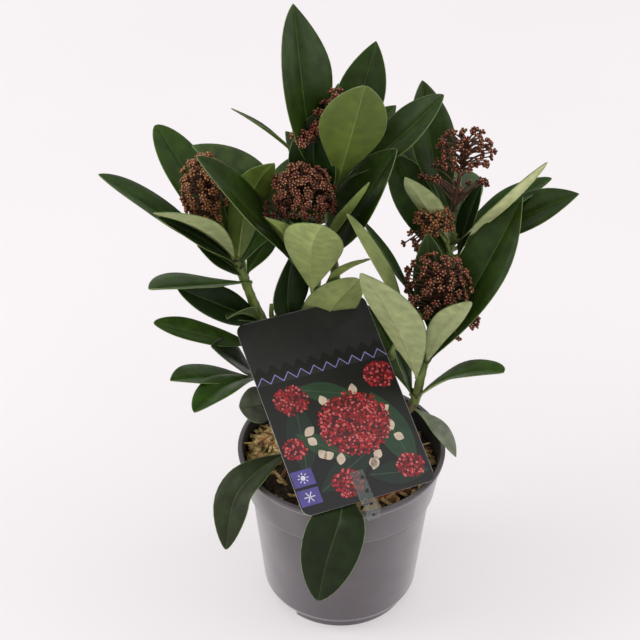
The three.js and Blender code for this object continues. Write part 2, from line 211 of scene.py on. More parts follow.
# bud_depth is how far the outer buds stand out from the ends of their branches.
HEAD = {"down_to": 1.74, "inner": 0.45, "bud_depth": 2.6}

CAMERA = {
    "at": (-12.6, -817.0, 802.0),
    "down": 36.7,
    "roll": 0.30,
    "focal_px": 1889.0,
    "frame_px": 640,
    "sensor": 36.0,
}
# Lights and floor are in metres: where each light is, its size and its power in watts.
LIGHTS = {
    "key_left": ((-1.3, -0.1, 0.95), 0.9, 9),
    "fill_right": ((1.3, 0.0, 0.9), 1.1, 5),
    "top_back": ((0.1, 1.0, 1.6), 1.2, 1.5),
}
LIGHTS_AIM = (0, 0.02, 0.16)
FLOOR = 4.0

# ---------------------------------------------------------------- the wood
Limb = namedtuple("Limb", "route foot tip")  # radii at the foot and the tip

STEM = Limb([(-2, 6, 92.6), (-2, 7, 98), (-3, 12, 107), (-4, 18, 120)], 6.6, 4.4)

BOUGHS = {
    "bough_left": Limb(
        [(-3, 15, 112), (-26, 34, 134), (-45, 43, 158), (-53, 43, 182), (-60, 42, 204)], 3.4, 2.2
    ),
    "bough_centre": Limb(
        [(-4, 17, 117), (-8, 38, 136), (-14, 56, 163), (-18, 51, 190), (-20, 43, 222)], 3.3, 2.0
    ),
    "bough_top": Limb(
        [(-2, 20, 116), (2, 50, 142), (-4, 66, 176), (-8, 62, 220), (-12, 56, 254)], 3.3, 2.0
    ),
    "bough_right": Limb(
        [(0, 12, 104), (20, 12, 111), (39, 11, 124), (44, 11, 146), (48, 13, 172)], 3.4, 2.2
    ),
    "bough_right_high": Limb(
        [(-1, 18, 113), (22, 30, 136), (44, 42, 166), (56, 47, 196), (62, 48, 218)], 3.2, 2.0
    ),
    "bough_back_left": Limb(
        [(-4, 20, 113), (-32, 44, 133), (-50, 59, 160), (-57, 67, 180), (-57, 70, 196)], 3.1, 2.0
    ),
    "bough_back": Limb(
        [(-3, 20, 110), (-12, 58, 134), (-14, 80, 168), (-1, 79, 206)], 3.1, 2.0
    ),
    "bough_back_right": Limb(
        [(0, 18, 108), (28, 46, 128), (50, 68, 160), (56, 76, 200)], 3.1, 2.0
    ),
}

# Thin side shoots that carry leaves away from the boughs.
TWIGS = [
    Limb([(-31, 36, 140), (-41, 34, 136), (-50, 29, 131)], 1.7, 1.4),
    Limb([(-14, 25, 123), (-27, 19, 126), (-38, 12, 124)], 1.3, 1.0),
    Limb([(-36, 40, 148), (-40, 45, 161), (-40, 45, 170)], 1.5, 1.3),
    Limb([(-60, 42, 202), (-64, 42, 215), (-69, 43, 230)], 2.1, 1.5),
    Limb([(-20, 43, 220), (-21, 41, 230), (-22, 39, 240)], 2.0, 1.5),
    Limb([(-12, 56, 252), (-11, 55, 260), (-9, 54, 270)], 2.0, 1.4),
    Limb([(48, 13, 170), (51, 14, 179), (53, 15, 187)], 2.1, 1.6),
    Limb([(61, 48, 215), (60, 49, 223), (60, 50, 232)], 1.7, 1.1),
    Limb([(59, 47, 206), (56, 43, 216), (51, 40, 225)], 1.2, 0.9),
    Limb([(-57, 70, 194), (-57, 71, 202), (-57, 72, 210)], 2.0, 1.6),
    Limb([(-1, 79, 204), (0, 81, 214), (0, 82, 226)], 2.0, 1.5),
    Limb([(56, 76, 198), (57, 77, 208), (57, 78, 218)], 2.0, 1.6),
]

# Where a shoot began its year's growth it keeps a ring of dry scales.
SCALE_RINGS = [(-60, 42, 203), (-58, 42, 197), (46, 11, 155), (49, 13, 166), (41, 11, 133), (61, 48, 212),
               (-19, 45, 213), (-9, 59, 240), (-57, 68, 190), (-3, 79, 200), (55, 75, 193)]
SCALE = {
    "count": 11,
    "out": 1.9,
    "level": (-1.6, 1.2),
    "length": (2.6, 4.6),
    "width": (0.8, 1.4),
    "thickness": 0.6,
    "lean": (0.35, 0.8),
}

# ---------------------------------------------------------------- the leaves
# turn is the compass way a leaf points, from +X towards +Y, and climb its angle over the level, in degrees.
# roll turns it about its own length, bow arches it and sweep curves it sideways, as shares of its reach.
# belly moves its widest place towards the tip as it grows. A lower blunt makes its tip rounder, and a lower
# foot its base. top and back name the colours of its two sides.
Leaf = namedtuple("Leaf", "root turn climb reach width roll bow sweep belly blunt foot top back")


def leaf(root, turn, climb, reach, width, roll=0, top="dark", back="pale", bow=0.05, sweep=0.0,
         belly=1.3, blunt=0.85, foot=None):
    foot = foot or blunt
    return Leaf(Vector(root), turn, climb, reach, width, roll, bow, sweep, belly, blunt, foot, top, back)


def whorl(x, y, *rows):
    """Plain leaves from one place: each a height, turn, climb, reach, width and, unless dark, its colour."""
    return [leaf((x, y, z), turn, climb, reach, width, 0, *top)
            for z, turn, climb, reach, width, *top in rows]


SHOOTS = {
    "left": [
        leaf((-61, 42, 200), 177, 38, 91, 27, -6, "mid", bow=0.01, sweep=-0.01, belly=1.5, blunt=0.71),
        leaf((-60, 42, 204), -135, 45, 79, 23, -24, "dark", "sage", sweep=-0.05, belly=1.35, blunt=0.71),
        leaf((-59, 43, 199), -149, 45, 67, 22, 20, "night", bow=0.04, sweep=-0.01, belly=1.27),
        leaf((-61, 44, 203), 137, 46, 85, 26, 10, "moss", bow=0.06, sweep=-0.01, belly=1.42, blunt=0.6),
        leaf((-58, 41, 204), -29, 71, 74, 21, 63, "dark", "olive", bow=0.12, sweep=0.06, belly=1.03,
             foot=0.6),
        leaf((-54, 44, 191), 67, 10, 36, 15, -8),
        leaf((-55, 42, 191), -161, 46, 38, 16, 31, "night"),
        leaf((-60, 42, 202), 110, 40, 70, 25),
        leaf((-58, 42, 198), 60, 15, 62, 22, 0, "mid"),
    ],
    "lower_left": [
        leaf((-51, 42, 188), -144, 19, 70, 30, -12, "moss", bow=-0.01, sweep=0.02, belly=1.59),
        leaf((-46, 44, 159), -160, 36, 60, 21, 46, "night", sweep=-0.02, belly=1.14, blunt=0.68),
        leaf((-46, 44, 158), -118, 36, 46, 13, -30, "dark", "dull", bow=0.1, sweep=-0.02),
        leaf((-46, 42, 160), -164, 19, 31, 13, 0, "moss"),
        leaf((-52, 38, 147), -157, 29, 65, 17, 21, "moss", bow=0.01, sweep=-0.02, belly=1.41, blunt=0.55),
        leaf((-50, 33, 129), -146, 49, 43, 24, 22, "night", bow=0.03, sweep=-0.01, belly=1.23),
        leaf((-51, 30, 130), -133, 28, 71, 24, 3, "fresh", bow=0.01, belly=1.38),
        leaf((-50, 21, 136), -117, 19, 69, 22, -3, "fresh", bow=0.07, belly=1.17, blunt=0.63),
        # Seen at a low angle, this leaf's pale grey top is painted sheen.
        leaf((-38, 12, 124), -147, 21, 25, 22, 46, "dusty", sweep=-0.01, belly=1.36, blunt=0.57),
        leaf((-48, 44, 150), 40, -10, 60, 22, 0, "mid"),
    ],
    "centre": [
        leaf((-21, 46, 188), -155, 57, 114, 27, 28, bow=0.03, sweep=-0.02, belly=1.53, blunt=0.67,
             foot=1.07),
        leaf((-29, 46, 224), 169, 39, 70, 26, 18, "grey", bow=0.08, sweep=0.02, belly=1.13),
        leaf((-17, 44, 180), -85, 54, 108, 34, 18, "mid", bow=0.03, sweep=0.04, belly=1.18),
        leaf((-22, 44, 192), -122, 58, 69, 21, -3, "mid", "lime", bow=0.06, sweep=-0.01, belly=1.38),
        leaf((-13, 44, 209), -38, 60, 66, 20, -1, "mid", "lime", bow=-0.02, belly=1.27),
        leaf((-15, 60, 137), -44, 60, 66, 31, 41, "mid", bow=-0.02, sweep=0.05, belly=1.0, blunt=0.59,
             foot=0.65),
        leaf((-12, 48, 178), -39, 47, 50, 13, 20, "dark", "lime", bow=0.06, sweep=-0.02, belly=1.38),
        leaf((-13, 48, 198), -11, 62, 89, 37, -33, bow=0, sweep=0.01, belly=1.17, blunt=0.8),
        leaf((-28, 50, 145), 82, 88, 58, 29, -52, "night", bow=0, sweep=-0.08, belly=1.25, blunt=1.15),
    ],
    "top": [
        leaf((-18, 54, 257), 108, 69, 88, 40, -32, bow=0.1, sweep=-0.11, blunt=0.9, foot=0.6),
        leaf((-8, 56, 250), 47, 62, 77, 27, -32, sweep=0.03),
        leaf((-5, 50, 241), -70, 65, 100, 36, 22, "mid", "olive", bow=0, belly=1.28, blunt=0.72, foot=1.62),
        leaf((-13, 49, 235), 116, 84, 56, 28, 44, "night", bow=0.08, sweep=-0.01, belly=1.0),
        leaf((-2, 54, 246), 2, 45, 77, 26, -23, bow=-0.01, sweep=0.03, belly=1.45, blunt=0.68, foot=1.0),
        leaf((-5, 56, 250), 41, 31, 52, 19, -12),
        leaf((-14, 58, 246), -175, 45, 66, 8, -16, "dark", "olive"),
        leaf((-12, 60, 248), 100, 28, 72, 26),
        leaf((-8, 60, 246), 60, 0, 66, 24, 0, "mid"),
    ],
    "right": [
        leaf((46, 14, 166), 175, 62, 95, 32, -31, "grey", bow=-0.01, sweep=0.02, belly=1.83, blunt=0.55,
             foot=1.24),
        leaf((48, 15, 182), 155, 52, 69, 12, -13, bow=0, sweep=-0.02, belly=1.57, blunt=0.73, foot=1.11),
        leaf((42, 10, 145), -137, 64, 105, 32, -20, "mid", "sage", bow=0.04, sweep=-0.01, belly=1.13),
        leaf((47, 10, 157), -47, 63, 64, 19, 31, "mid", "sage", sweep=0.02, belly=1.21, blunt=0.69),
        leaf((48, 14, 154), 29, 59, 108, 33, -15, bow=0.04, sweep=0.04, belly=1.34, blunt=1.03, foot=0.84),
        leaf((48, 14, 173), 101, 76, 60, 20, 3),
        leaf((39, 11, 132), 152, 68, 31, 10, -2, "night"),
        leaf((50, 17, 168), 85, 20, 66, 22, 0, "mid"),
    ],
    "low_right": [
        leaf((41, 10, 130), -23, 35, 62, 22, 7, "moss", bow=0.09, sweep=-0.03, belly=1.28, blunt=0.44,
             foot=0.84),
        # Seen at a low angle, this leaf's pale grey top is painted sheen.
        leaf((40, 10, 124), -38, -33, 37, 12, 0, "dusty", bow=0.12),
        leaf((40, 13, 130), 115, 20, 66, 23),
    ],
    "right_high": [
        leaf((64, 53, 215), 130, 67, 88, 30, 5, bow=0, sweep=-0.05, belly=1.51, blunt=0.79, foot=1.06),
        leaf((59, 46, 199), 154, 59, 70, 25, 44, sweep=-0.01, belly=1.55, blunt=0.56),
        leaf((58, 44, 216), -142, 58, 63, 18, -30, "mid", "sage", bow=0.02, sweep=0.01, belly=1.16),
        leaf((64, 44, 204), 29, 74, 46, 15, -4, "night", sweep=0.01, belly=1.22, blunt=0.83, foot=0.87),
        leaf((64, 46, 214), -29, 54, 81, 23, 16, "mid", "cream", bow=-0.04, sweep=-0.01, belly=1.22,
             blunt=0.71),
        leaf((65, 50, 213), 12, 33, 60, 19, -1, "mid", bow=0.04, belly=1.12, blunt=0.61),
        leaf((64, 55, 203), -15, 36, 80, 27, -26, bow=0.03, sweep=0.01),
        leaf((64, 52, 212), 85, 0, 72, 26, 0, "mid"),
        leaf((60, 54, 212), 118, 22, 72, 26),
    ],
    "back_left": whorl(
        -56, 70,
        (192, 100, 10, 74, 25, "mid"),
        (188, 60, -10, 70, 24),
        (194, 125, 28, 72, 25),
        (198, 42, 30, 72, 24, "moss"),
        (200, 155, 48, 66, 22),
        (190, 20, 12, 62, 22),
        (186, 115, -22, 66, 23, "mid"),
    ),
    "back": whorl(
        0, 78,
        (206, 82, 40, 80, 26),
        (200, 98, 14, 76, 26, "mid"),
        (210, 96, 66, 74, 24),
        (196, 88, -14, 72, 24, "moss"),
        (200, 158, 4, 70, 24),
        (204, 62, 26, 66, 22, "mid"),
        (206, 130, 34, 62, 22),
        (190, 120, -26, 60, 22),
    ),
    "back_right": whorl(
        56, 76,
        (198, 102, 30, 74, 25, "mid"),
        (202, 128, 42, 70, 24),
        (194, 98, -6, 72, 24, "moss"),
        (192, 40, -12, 66, 23),
        (200, 150, 50, 46, 21),
        (196, 62, -24, 62, 22, "mid"),
        (194, 84, -30, 58, 21),
    ),
}

# Low leaves that rise from the stem's foot and hang over the rim, each along its own route. The higher its
# steady is, the less a leaf's breadth turns with the bends of the route. fold is as in LEAF.
RimLeaf = namedtuple("RimLeaf", "route width blade_from belly blunt top steady fold")
RIM_LEAVES = {
    "rim_leaf_left": RimLeaf(
        [(-5, 5, 104), (-34, -15, 108.5), (-50, -31, 107.5), (-60, -41, 97), (-64, -56, 76)],
        24, 0.20, 1.20, 0.68, "dull", 0, 14,
    ),
    # The front leaf's darker top colour is painted shade, for the shade that falls on it.
    "rim_leaf_front": RimLeaf(
        [(-1, 2, 100), (1, -30, 104.5), (0, -54, 106.1), (-2, -64, 103), (-8, -72, 84), (-13, -80, 61)],
        33, 0.22, 1.42, 0.64, "shade", 4, 3,
    ),
}

# ---------------------------------------------------------------- the flower buds
# bits are small outlying tufts of the same head, each a middle, a spread and a number of branches.
Panicle = namedtuple("Panicle", "foot centre size sprays cluster tone bits", defaults=((),))
PANICLES = {
    "left": Panicle((-69, 43, 229), (-75.5, 44, 246), (14, 13, 27), 110, 7, "rust"),
    "centre": Panicle((-22, 39, 238), (-22, 38, 251), (19, 16, 18), 140, 8, "brown",
                      (((-36, 36, 239), 7, 9), ((-10, 36, 238), 7, 9))),
    "top": Panicle((-9, 54, 268), (-3, 54, 284), (15, 12, 19), 100, 7, "crimson",
                   (((-23, 46, 279), 5, 12), ((-15, 52, 284), 6, 12), ((-4, 53, 296), 7, 10))),
    "right": Panicle((53, 15, 185), (51, 16, 201), (22, 15, 27), 125, 7, "brown", (((68, 15, 177), 7, 7),)),
    "right_high": Panicle((60, 50, 231), (65.5, 52, 268), (17.5, 13, 16), 56, 6, "brown",
                          (((49, 50, 252), 7, 7), ((73, 52, 247), 7, 6))),
    "right_small": Panicle((51, 40, 224), (49, 38, 233), (13, 11, 13), 50, 5, "rust",
                           (((37, 38, 219), 6, 6),)),
    "back_left": Panicle((-57, 72, 207), (-57, 72, 216), (13, 13, 15), 40, 7, "brown"),
    "back": Panicle((0, 82, 222), (0, 82, 232), (15, 14, 18), 48, 7, "brown"),
    "back_right": Panicle((57, 78, 215), (57, 78, 224), (13, 12, 15), 40, 7, "brown"),
}
BUD_TONES = {
    "rust": ("bud_rust", "bud_rust", "bud_brown"),
    "brown": ("bud_brown", "bud_brown", "bud_wine", "bud_dark"),
    "crimson": ("bud_wine", "bud_wine", "bud_brown"),
}


# ---------------------------------------------------------------- colours and materials
LEAF_TOPS = {
    "night": (24, 42, 12),
    # A darker green for a leaf in shade: painted shade.
    "shade": (26, 38, 12),
    "dark": (40, 60, 14),
    "mid": (46, 70, 20),
    "moss": (50, 74, 22),
    "fresh": (40, 66, 12),
    "grey": (72, 90, 50),
    "dull": (46, 54, 32),
    # This pale grey-green is painted sheen: it stands for the gloss of leaves seen at a low angle, not a
    # colour of their own.
    "dusty": (108, 114, 98),
}
LEAF_BACKS = {
    "pale": (154, 168, 100),
    "lime": (138, 156, 78),
    "sage": (164, 174, 120),
    "cream": (190, 198, 140),
    "olive": (88, 106, 34),
    "dull": (74, 90, 44),
}
RIB_GREEN = (120, 146, 80)
RIB_CREAM = (200, 205, 140)
MARGIN = (106, 126, 72)
LEAF_SHINE = {"Specular IOR Level": 0.18, "Coat Weight": 0.03, "Coat Roughness": 0.3}
BUD_COLOURS = {
    "bud_brown": (100, 52, 30),
    "bud_rust": (128, 76, 38),
    "bud_wine": (118, 42, 36),
    "bud_dark": (66, 34, 24),
    # The pale tip colour is partly the buds' own paler tips and partly a painted highlight.
    "bud_tip": (184, 136, 90),
}
STALK_STOPS = [(0.35, (66, 38, 36)), (0.6, (98, 66, 46))]
SHOOT_STOPS = [(0.3, (72, 78, 40)), (0.5, (102, 120, 52)), (0.72, (130, 146, 74))]
BARK_STOPS = [(0.3, (74, 58, 40)), (0.5, (110, 96, 62)), (0.7, (138, 126, 88))]
SOIL_STOPS = [(0.3, (24, 18, 14)), (0.5, (50, 37, 26)), (0.66, (88, 66, 44))]
CHIP_COLOURS = {
    "chip_pale": (214, 184, 130),
    "chip_tan": (168, 118, 70),
    "chip_brown": (116, 78, 48),
    "chip_straw": (196, 164, 108),
    "chip_orange": (188, 84, 40),
}
POT_SHEEN = {"Sheen Weight": 0.75, "Sheen Roughness": 0.4}
CLEAR = {"Transmission Weight": 0.93, "IOR": 1.25}
INK_SHINE = {"Coat Weight": 0.15, "Coat Roughness": 0.2}
INKS = {  # the colour and roughness of all that is printed
    "card": ((37, 37, 40), 0.34),
    "card_shadow": ((14, 14, 16), 0.34),
    "card_worn": ((112, 112, 116), 0.4),
    "ink_purple": ((80, 72, 140), 0.34),
    "ink_lilac": ((150, 140, 204), 0.34),
    "ink_white": ((214, 212, 224), 0.34),
    "ink_leaf": ((34, 62, 40), 0.34),
    "ink_leaf_dark": ((22, 38, 28), 0.34),
    "ink_rib": ((64, 92, 66), 0.34),
    "ink_red": ((164, 28, 38), 0.32),
    "ink_red_dark": ((112, 16, 28), 0.32),
    "ink_red_deep": ((66, 14, 22), 0.32),
    "ink_cream": ((204, 186, 166), 0.36),
    "ink_pink": ((206, 100, 100), 0.34),
}


def srgb(red, green, blue):
    def linear(value):
        share = value / 255
        return share / 12.92 if share <= 0.04045 else ((share + 0.055) / 1.055) ** 2.4

    return (linear(red), linear(green), linear(blue), 1.0)


def shade(colour, factor):
    return tuple(min(255, channel * factor) for channel in colour)


def blend(first, second, share):
    return tuple(a + (b - a) * share for a, b in zip(first, second))


class Finish:
    """One Principled material, with helpers that add noise to its colour, gloss and relief."""

    def __init__(self, name, colour, rough, sockets=None):
        self.colour = colour
        self.material = bpy.data.materials.new(name)
        self.material.use_nodes = True
        self.tree = self.material.node_tree
        self.shader = self.tree.nodes["Principled BSDF"]
        self.set_sockets(self.shader, {"Base Color": srgb(*colour), "Roughness": rough, **(sockets or {})})

    def set_sockets(self, node, sockets):
        for socket, value in sockets.items():
            node.inputs[socket].default_value = value

    def node(self, kind, sockets):
        made = self.tree.nodes.new(kind)
        self.set_sockets(made, sockets)
        return made

    def link(self, source, node, socket):
        self.tree.links.new(source, node.inputs[socket])

    def noise(self, size, detail=3.0, stretch=(1, 1, 1)):
        """A noise pattern with patches about size mm across."""
        coordinates = self.node("ShaderNodeTexCoord", {})
        mapping = self.node("ShaderNodeMapping", {"Scale": stretch})
        pattern = self.node("ShaderNodeTexNoise", {"Scale": 1 / (size * MM), "Detail": detail})
        self.link(coordinates.outputs["Object"], mapping, "Vector")
        self.link(mapping.outputs["Vector"], pattern, "Vector")
        return pattern.outputs["Fac"]

    def mottle(self, stops, size, detail=3.0, stretch=(1, 1, 1)):
        """Blends the base colour between stops, each a place on the noise and a colour."""
        ramp = self.tree.nodes.new("ShaderNodeValToRGB")
        while len(ramp.color_ramp.elements) < len(stops):
            ramp.color_ramp.elements.new(0.5)
        for element, (place, colour) in zip(ramp.color_ramp.elements, stops):
            element.position = place
            element.color = srgb(*colour)
        self.link(self.noise(size, detail, stretch), ramp, "Fac")
        self.link(ramp.outputs["Color"], self.shader, "Base Color")
        return self

    def speckle(self, spread, size, detail=3.0):
        """Mottles the finish's own colour, darker and lighter by spread, in patches of size mm."""
        stops = [(0.3, 1 - spread), (0.5, 1), (0.7, 1 + spread)]
        return self.mottle([(place, shade(self.colour, factor)) for place, factor in stops], size, detail)

    def gloss(self, low, high, size):
        """Varies the roughness between low and high."""
        ends = {"From Min": 0.35, "From Max": 0.65, "To Min": low, "To Max": high}
        span = self.node("ShaderNodeMapRange", ends)
        self.link(self.noise(size), span, "Value")
        self.link(span.outputs["Result"], self.shader, "Roughness")
        return self

    def relief(self, size, depth, stretch=(1, 1, 1)):
        """Fine bumps of about size mm across and depth mm deep."""
        bump = self.node("ShaderNodeBump", {"Distance": depth * MM})
        self.link(self.noise(size, 4.0, stretch), bump, "Height")
        self.link(bump.outputs["Normal"], self.shader, "Normal")
        return self


def make_finishes():
    """Every material of the plant, the pot and the card, by name."""
    made = {**leaf_finishes(), **wood_finishes(), **pot_finishes(), **ground_finishes(), **card_finishes()}
    for name, colour in BUD_COLOURS.items():
        made[name] = Finish(name, colour, 0.5).speckle(0.2, 1.6).relief(0.5, 0.05)
    return {name: finish.material for name, finish in made.items()}


def leaf_finishes():
    made = {"margin": Finish("leaf_margin", MARGIN, 0.45).speckle(0.12, 3)}
    for name, colour in LEAF_TOPS.items():
        skin = Finish("leaf_top_" + name, colour, 0.45, LEAF_SHINE)
        rib = Finish("midrib_" + name, blend(colour, RIB_GREEN, 0.35), 0.45, LEAF_SHINE)
        made["top_" + name] = skin.speckle(0.16, 7).gloss(0.36, 0.52, 9).relief(1.1, 0.05)
        made["rib_" + name] = rib.speckle(0.1, 4)
    for name, colour in LEAF_BACKS.items():
        skin = Finish("leaf_back_" + name, colour, 0.58)
        rib = Finish("midrib_back_" + name, blend(colour, RIB_CREAM, 0.3), 0.55)
        made["back_" + name] = skin.speckle(0.09, 6).relief(0.7, 0.04)
        made["rib_back_" + name] = rib.speckle(0.08, 4)
    return made


def wood_finishes():
    stalk = Finish("flower_stalk", (84, 50, 42), 0.55).mottle(STALK_STOPS, 3)
    shoot = Finish("shoot_bark", (102, 120, 52), 0.5).mottle(SHOOT_STOPS, 4, stretch=(1, 1, 0.25))
    bark = Finish("old_bark", (108, 92, 62), 0.8).mottle(BARK_STOPS, 3, stretch=(1, 1, 0.3))
    return {
        "flower_stalk": stalk,
        "shoot": shoot.relief(0.9, 0.12, stretch=(1, 1, 0.2)),
        "bark": bark.relief(1.2, 0.35, stretch=(1, 1, 0.3)),
        "scale": Finish("bud_scale", (58, 44, 32), 0.7).speckle(0.3, 1.5),
    }


def pot_finishes():
    outside = Finish("pot_plastic", (80, 73, 78), 0.45, POT_SHEEN)
    # The inside is the same plastic, painted much darker for the shade within the pot.
    inside = Finish("pot_inside", (36, 34, 35), 0.6)
    return {
        "pot": outside.speckle(0.04, 26, 6.0).gloss(0.42, 0.54, 18).relief(0.6, 0.05),
        "pot_inside": inside.speckle(0.15, 12).relief(0.8, 0.06),
    }


def ground_finishes():
    made = {
        "soil": Finish("compost", (46, 34, 25), 0.95).mottle(SOIL_STOPS, 2.4, 8.0).relief(1.4, 0.9),
        "moss": Finish("moss", (78, 104, 42), 0.9).speckle(0.25, 1.4),
    }
    for name, colour in CHIP_COLOURS.items():
        made[name] = Finish(name, colour, 0.8).speckle(0.18, 1.6).relief(0.6, 0.15)
    return made


def card_finishes():
    made = {
        "card_edge": Finish("card_edge", (178, 178, 172), 0.5).speckle(0.06, 3),
        "clip": Finish("clear_plastic", (226, 230, 228), 0.12, CLEAR),
        "stud": Finish("clip_stud", (24, 24, 26), 0.4).speckle(0.2, 2),
    }
    for name, (colour, rough) in INKS.items():
        made[name] = Finish(name, colour, rough, INK_SHINE).speckle(0.08, 5).relief(3.0, 0.01)
    return made


# ---------------------------------------------------------------- meshes
def add_object(name, data):
    """A new object in the scene for a mesh, a light or a camera."""
    made = bpy.data.objects.new(name, data)
    bpy.context.scene.collection.objects.link(made)
    return made


class Soup:
    """Faces gathered from many shapes, in millimetres, that become one joined mesh."""

    def __init__(self):
        self.points = []
        self.faces = []
        self.finishes = []

    def add(self, points, faces, finish):
        """finish is one name for all the faces, or a list with one name for each."""
        first = len(self.points)
        self.points.extend(points)
        self.faces.extend(tuple(first + index for index in face) for face in faces)
        self.finishes.extend([finish] * len(faces) if isinstance(finish, str) else finish)

    def piece(self, name, slot, *nodes, crease=180):
        """Makes the mesh object; edges sharper than crease degrees stay sharp."""
        mesh = bpy.data.meshes.new(name)
        mesh.from_pydata([tuple(point * MM) for point in self.points], [], self.faces)
        used = sorted(set(self.finishes))
        for finish in used:
            mesh.materials.append(FINISHES[finish])
        mesh.polygons.foreach_set("material_index", [used.index(finish) for finish in self.finishes])
        mesh.shade_smooth()
        if crease < 180:
            mesh.set_sharp_from_angle(angle=math.radians(crease))
        made = add_object(name, mesh)
        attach(made, "root")
        if nodes:
            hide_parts(*nodes)
        return made


def circle(radius, count, middle=(0, 0), squash=1.0):
    """Points on a circle, anticlockwise from +X, with its height squashed."""
    x, y = middle
    turns = [math.tau * k / count for k in range(count)]
    return [(x + radius * math.cos(turn), y + squash * radius * math.sin(turn)) for turn in turns]


def spot_in_disc(rng, middle, radius, stretch=1.0):
    """A random point of an even spread over a disc, stretched along y."""
    angle, away = rng.uniform(0, math.tau), radius * math.sqrt(rng.random())
    return middle[0] + away * math.cos(angle), middle[1] + stretch * away * math.sin(angle)


def ring_faces(first, second, count):
    """Quads between two rings of count points that start at those indices."""
    return [(first + i, first + (i + 1) % count, second + (i + 1) % count, second + i) for i in range(count)]


def caps(sides, last):
    """The flat end faces of a shape whose first ring starts at 0 and whose last ring starts at last."""
    return [tuple(range(sides))[::-1], tuple(range(last, last + sides))]


def barrel_faces(rings, sides):
    """Faces of a closed shape: rings of sides points each, with a flat face at either end."""
    faces = []
    for ring in range(rings - 1):
        faces += ring_faces(ring * sides, (ring + 1) * sides, sides)
    return faces + caps(sides, (rings - 1) * sides)


def pointed_faces(rings, sides):
    """Faces of a closed shape: one point, then rings of sides points each, then one point."""
    faces = [(0, 1 + (k + 1) % sides, 1 + k) for k in range(sides)]
    for ring in range(rings - 1):
        faces += ring_faces(1 + ring * sides, 1 + (ring + 1) * sides, sides)
    last, tip = 1 + (rings - 1) * sides, 1 + rings * sides
    return faces + [(tip, last + k, last + (k + 1) % sides) for k in range(sides)]


def spline(points, share):
    """A point on a smooth curve through points, for share from 0 to 1."""
    spans = len(points) - 1
    place = min(max(share, 0.0), 1.0) * spans
    span = min(int(place), spans - 1)
    t = place - span
    p1, p2 = points[span], points[span + 1]
    p0 = points[span - 1] if span > 0 else p1 * 2 - p2
    p3 = points[span + 2] if span + 2 <= spans else p2 * 2 - p1
    square = 2 * p0 - 5 * p1 + 4 * p2 - p3
    cube = 3 * p1 - p0 - 3 * p2 + p3
    return 0.5 * (2 * p1 + (p2 - p0) * t + square * t**2 + cube * t**3)


def curve(points, steps):
    """The smooth curve through points, as a list of steps + 1 points."""
    points = [Vector(point) for point in points]
    return [spline(points, step / steps) for step in range(steps + 1)]


def heading(centre_at, share):
    """The way that a curve runs at a share of its length."""
    return centre_at(min(share + NEAR, 1.0)) - centre_at(max(share - NEAR, 0.0))


def tube(soup, line, radii, sides, finish):
    """A closed round tube along line; finish is a name, or a function of the place along it."""
    across = (line[1] - line[0]).orthogonal().normalized()
    points = []
    for index, (centre, radius) in enumerate(zip(line, radii)):
        ahead = (line[min(index + 1, len(line) - 1)] - line[max(index - 1, 0)]).normalized()
        across = (across - ahead * across.dot(ahead)).normalized()
        beside = ahead.cross(across)
        for k in range(sides):
            angle = math.tau * k / sides
            size = radius(angle) if callable(radius) else radius
            points.append(centre + (across * math.cos(angle) + beside * math.sin(angle)) * size)
    finishes = finish
    if callable(finish):
        last = len(line) - 1
        finishes = [finish(ring) for ring in range(last) for _ in range(sides)] + [finish(0), finish(last)]
    soup.add(points, barrel_faces(len(line), sides), finishes)


# ---------------------------------------------------------------- stem, boughs and twigs
def limb(soup, shape, sides, seed):
    """A tapering limb with ridged bark and a swelling at every leaf scar."""
    total = length_of(shape.route)
    steps = max(4, int(total / LIMB["step"]))
    line = curve(shape.route, steps)

    def radius_at(step):
        share = step / steps
        plain = shape.foot + (shape.tip - shape.foot) * share
        scar = math.cos(math.tau * share * total / LIMB["node_every"]) ** 8
        swell = 1 + LIMB["node_swell"] * scar

        def radius(angle):
            level = share * total * LIMB["grain_along"] + seed * LIMB["apart"]
            spot = Vector((math.cos(angle) * LIMB["grain"], math.sin(angle) * LIMB["grain"], level))
            return plain * swell * (1 + LIMB["ridge"] * noise.noise(spot))

        return radius

    def finish(step):
        waver = LIMB["bark_waver"] * noise.noise(Vector((seed, step * 0.2, 0)))
        return "bark" if line[step].z < LIMB["bark_top"] + waver else "shoot"

    tube(soup, line, [radius_at(step) for step in range(steps + 1)], sides, finish)


def length_of(route):
    points = [Vector(point) for point in route]
    return sum((b - a).length for a, b in zip(points, points[1:]))


def make_wood():
    stem = Soup()
    limb(stem, STEM, LIMB["sides"] + 8, 1)
    stem.piece("stem_bark", "stem", "main_stem")
    for number, (name, shape) in enumerate(BOUGHS.items()):
        soup = Soup()
        limb(soup, shape, LIMB["sides"], number + 2)
        soup.piece(name + "_bark", "shoot", name)


def nearest_wood(place, lines):
    return min((point for line in lines for point in line), key=lambda point: (point - place).length)


def make_twigs():
    """The side shoots, the long leaf stalks that reach a bough, and the dry bud scales."""
    soup = Soup()
    for number, shape in enumerate(TWIGS):
        limb(soup, shape, 10, number + 20)
    lines = [curve(shape.route, 40) for shape in [STEM, *BOUGHS.values(), *TWIGS]]
    for one in [one for leaves in SHOOTS.values() for one in leaves]:
        start = nearest_wood(one.root, lines)
        if (start - one.root).length > LEAF["stalk_from"]:
            past = leaf_axes(one)[0] * LEAF["stalk"]
            line = curve([start, (start + one.root) / 2 - past, one.root + past], 6)
            tube(soup, line, [LEAF["stalk"] - 0.06 * step for step in range(7)], 8, "shoot")
    soup.piece("side_shoots", "shoot")
    scales = Soup()
    rng = random.Random(5)
    for place in SCALE_RINGS:
        scale_ring(scales, nearest_wood(Vector(place), lines), rng)
    scales.piece("bud_scales", "stem")


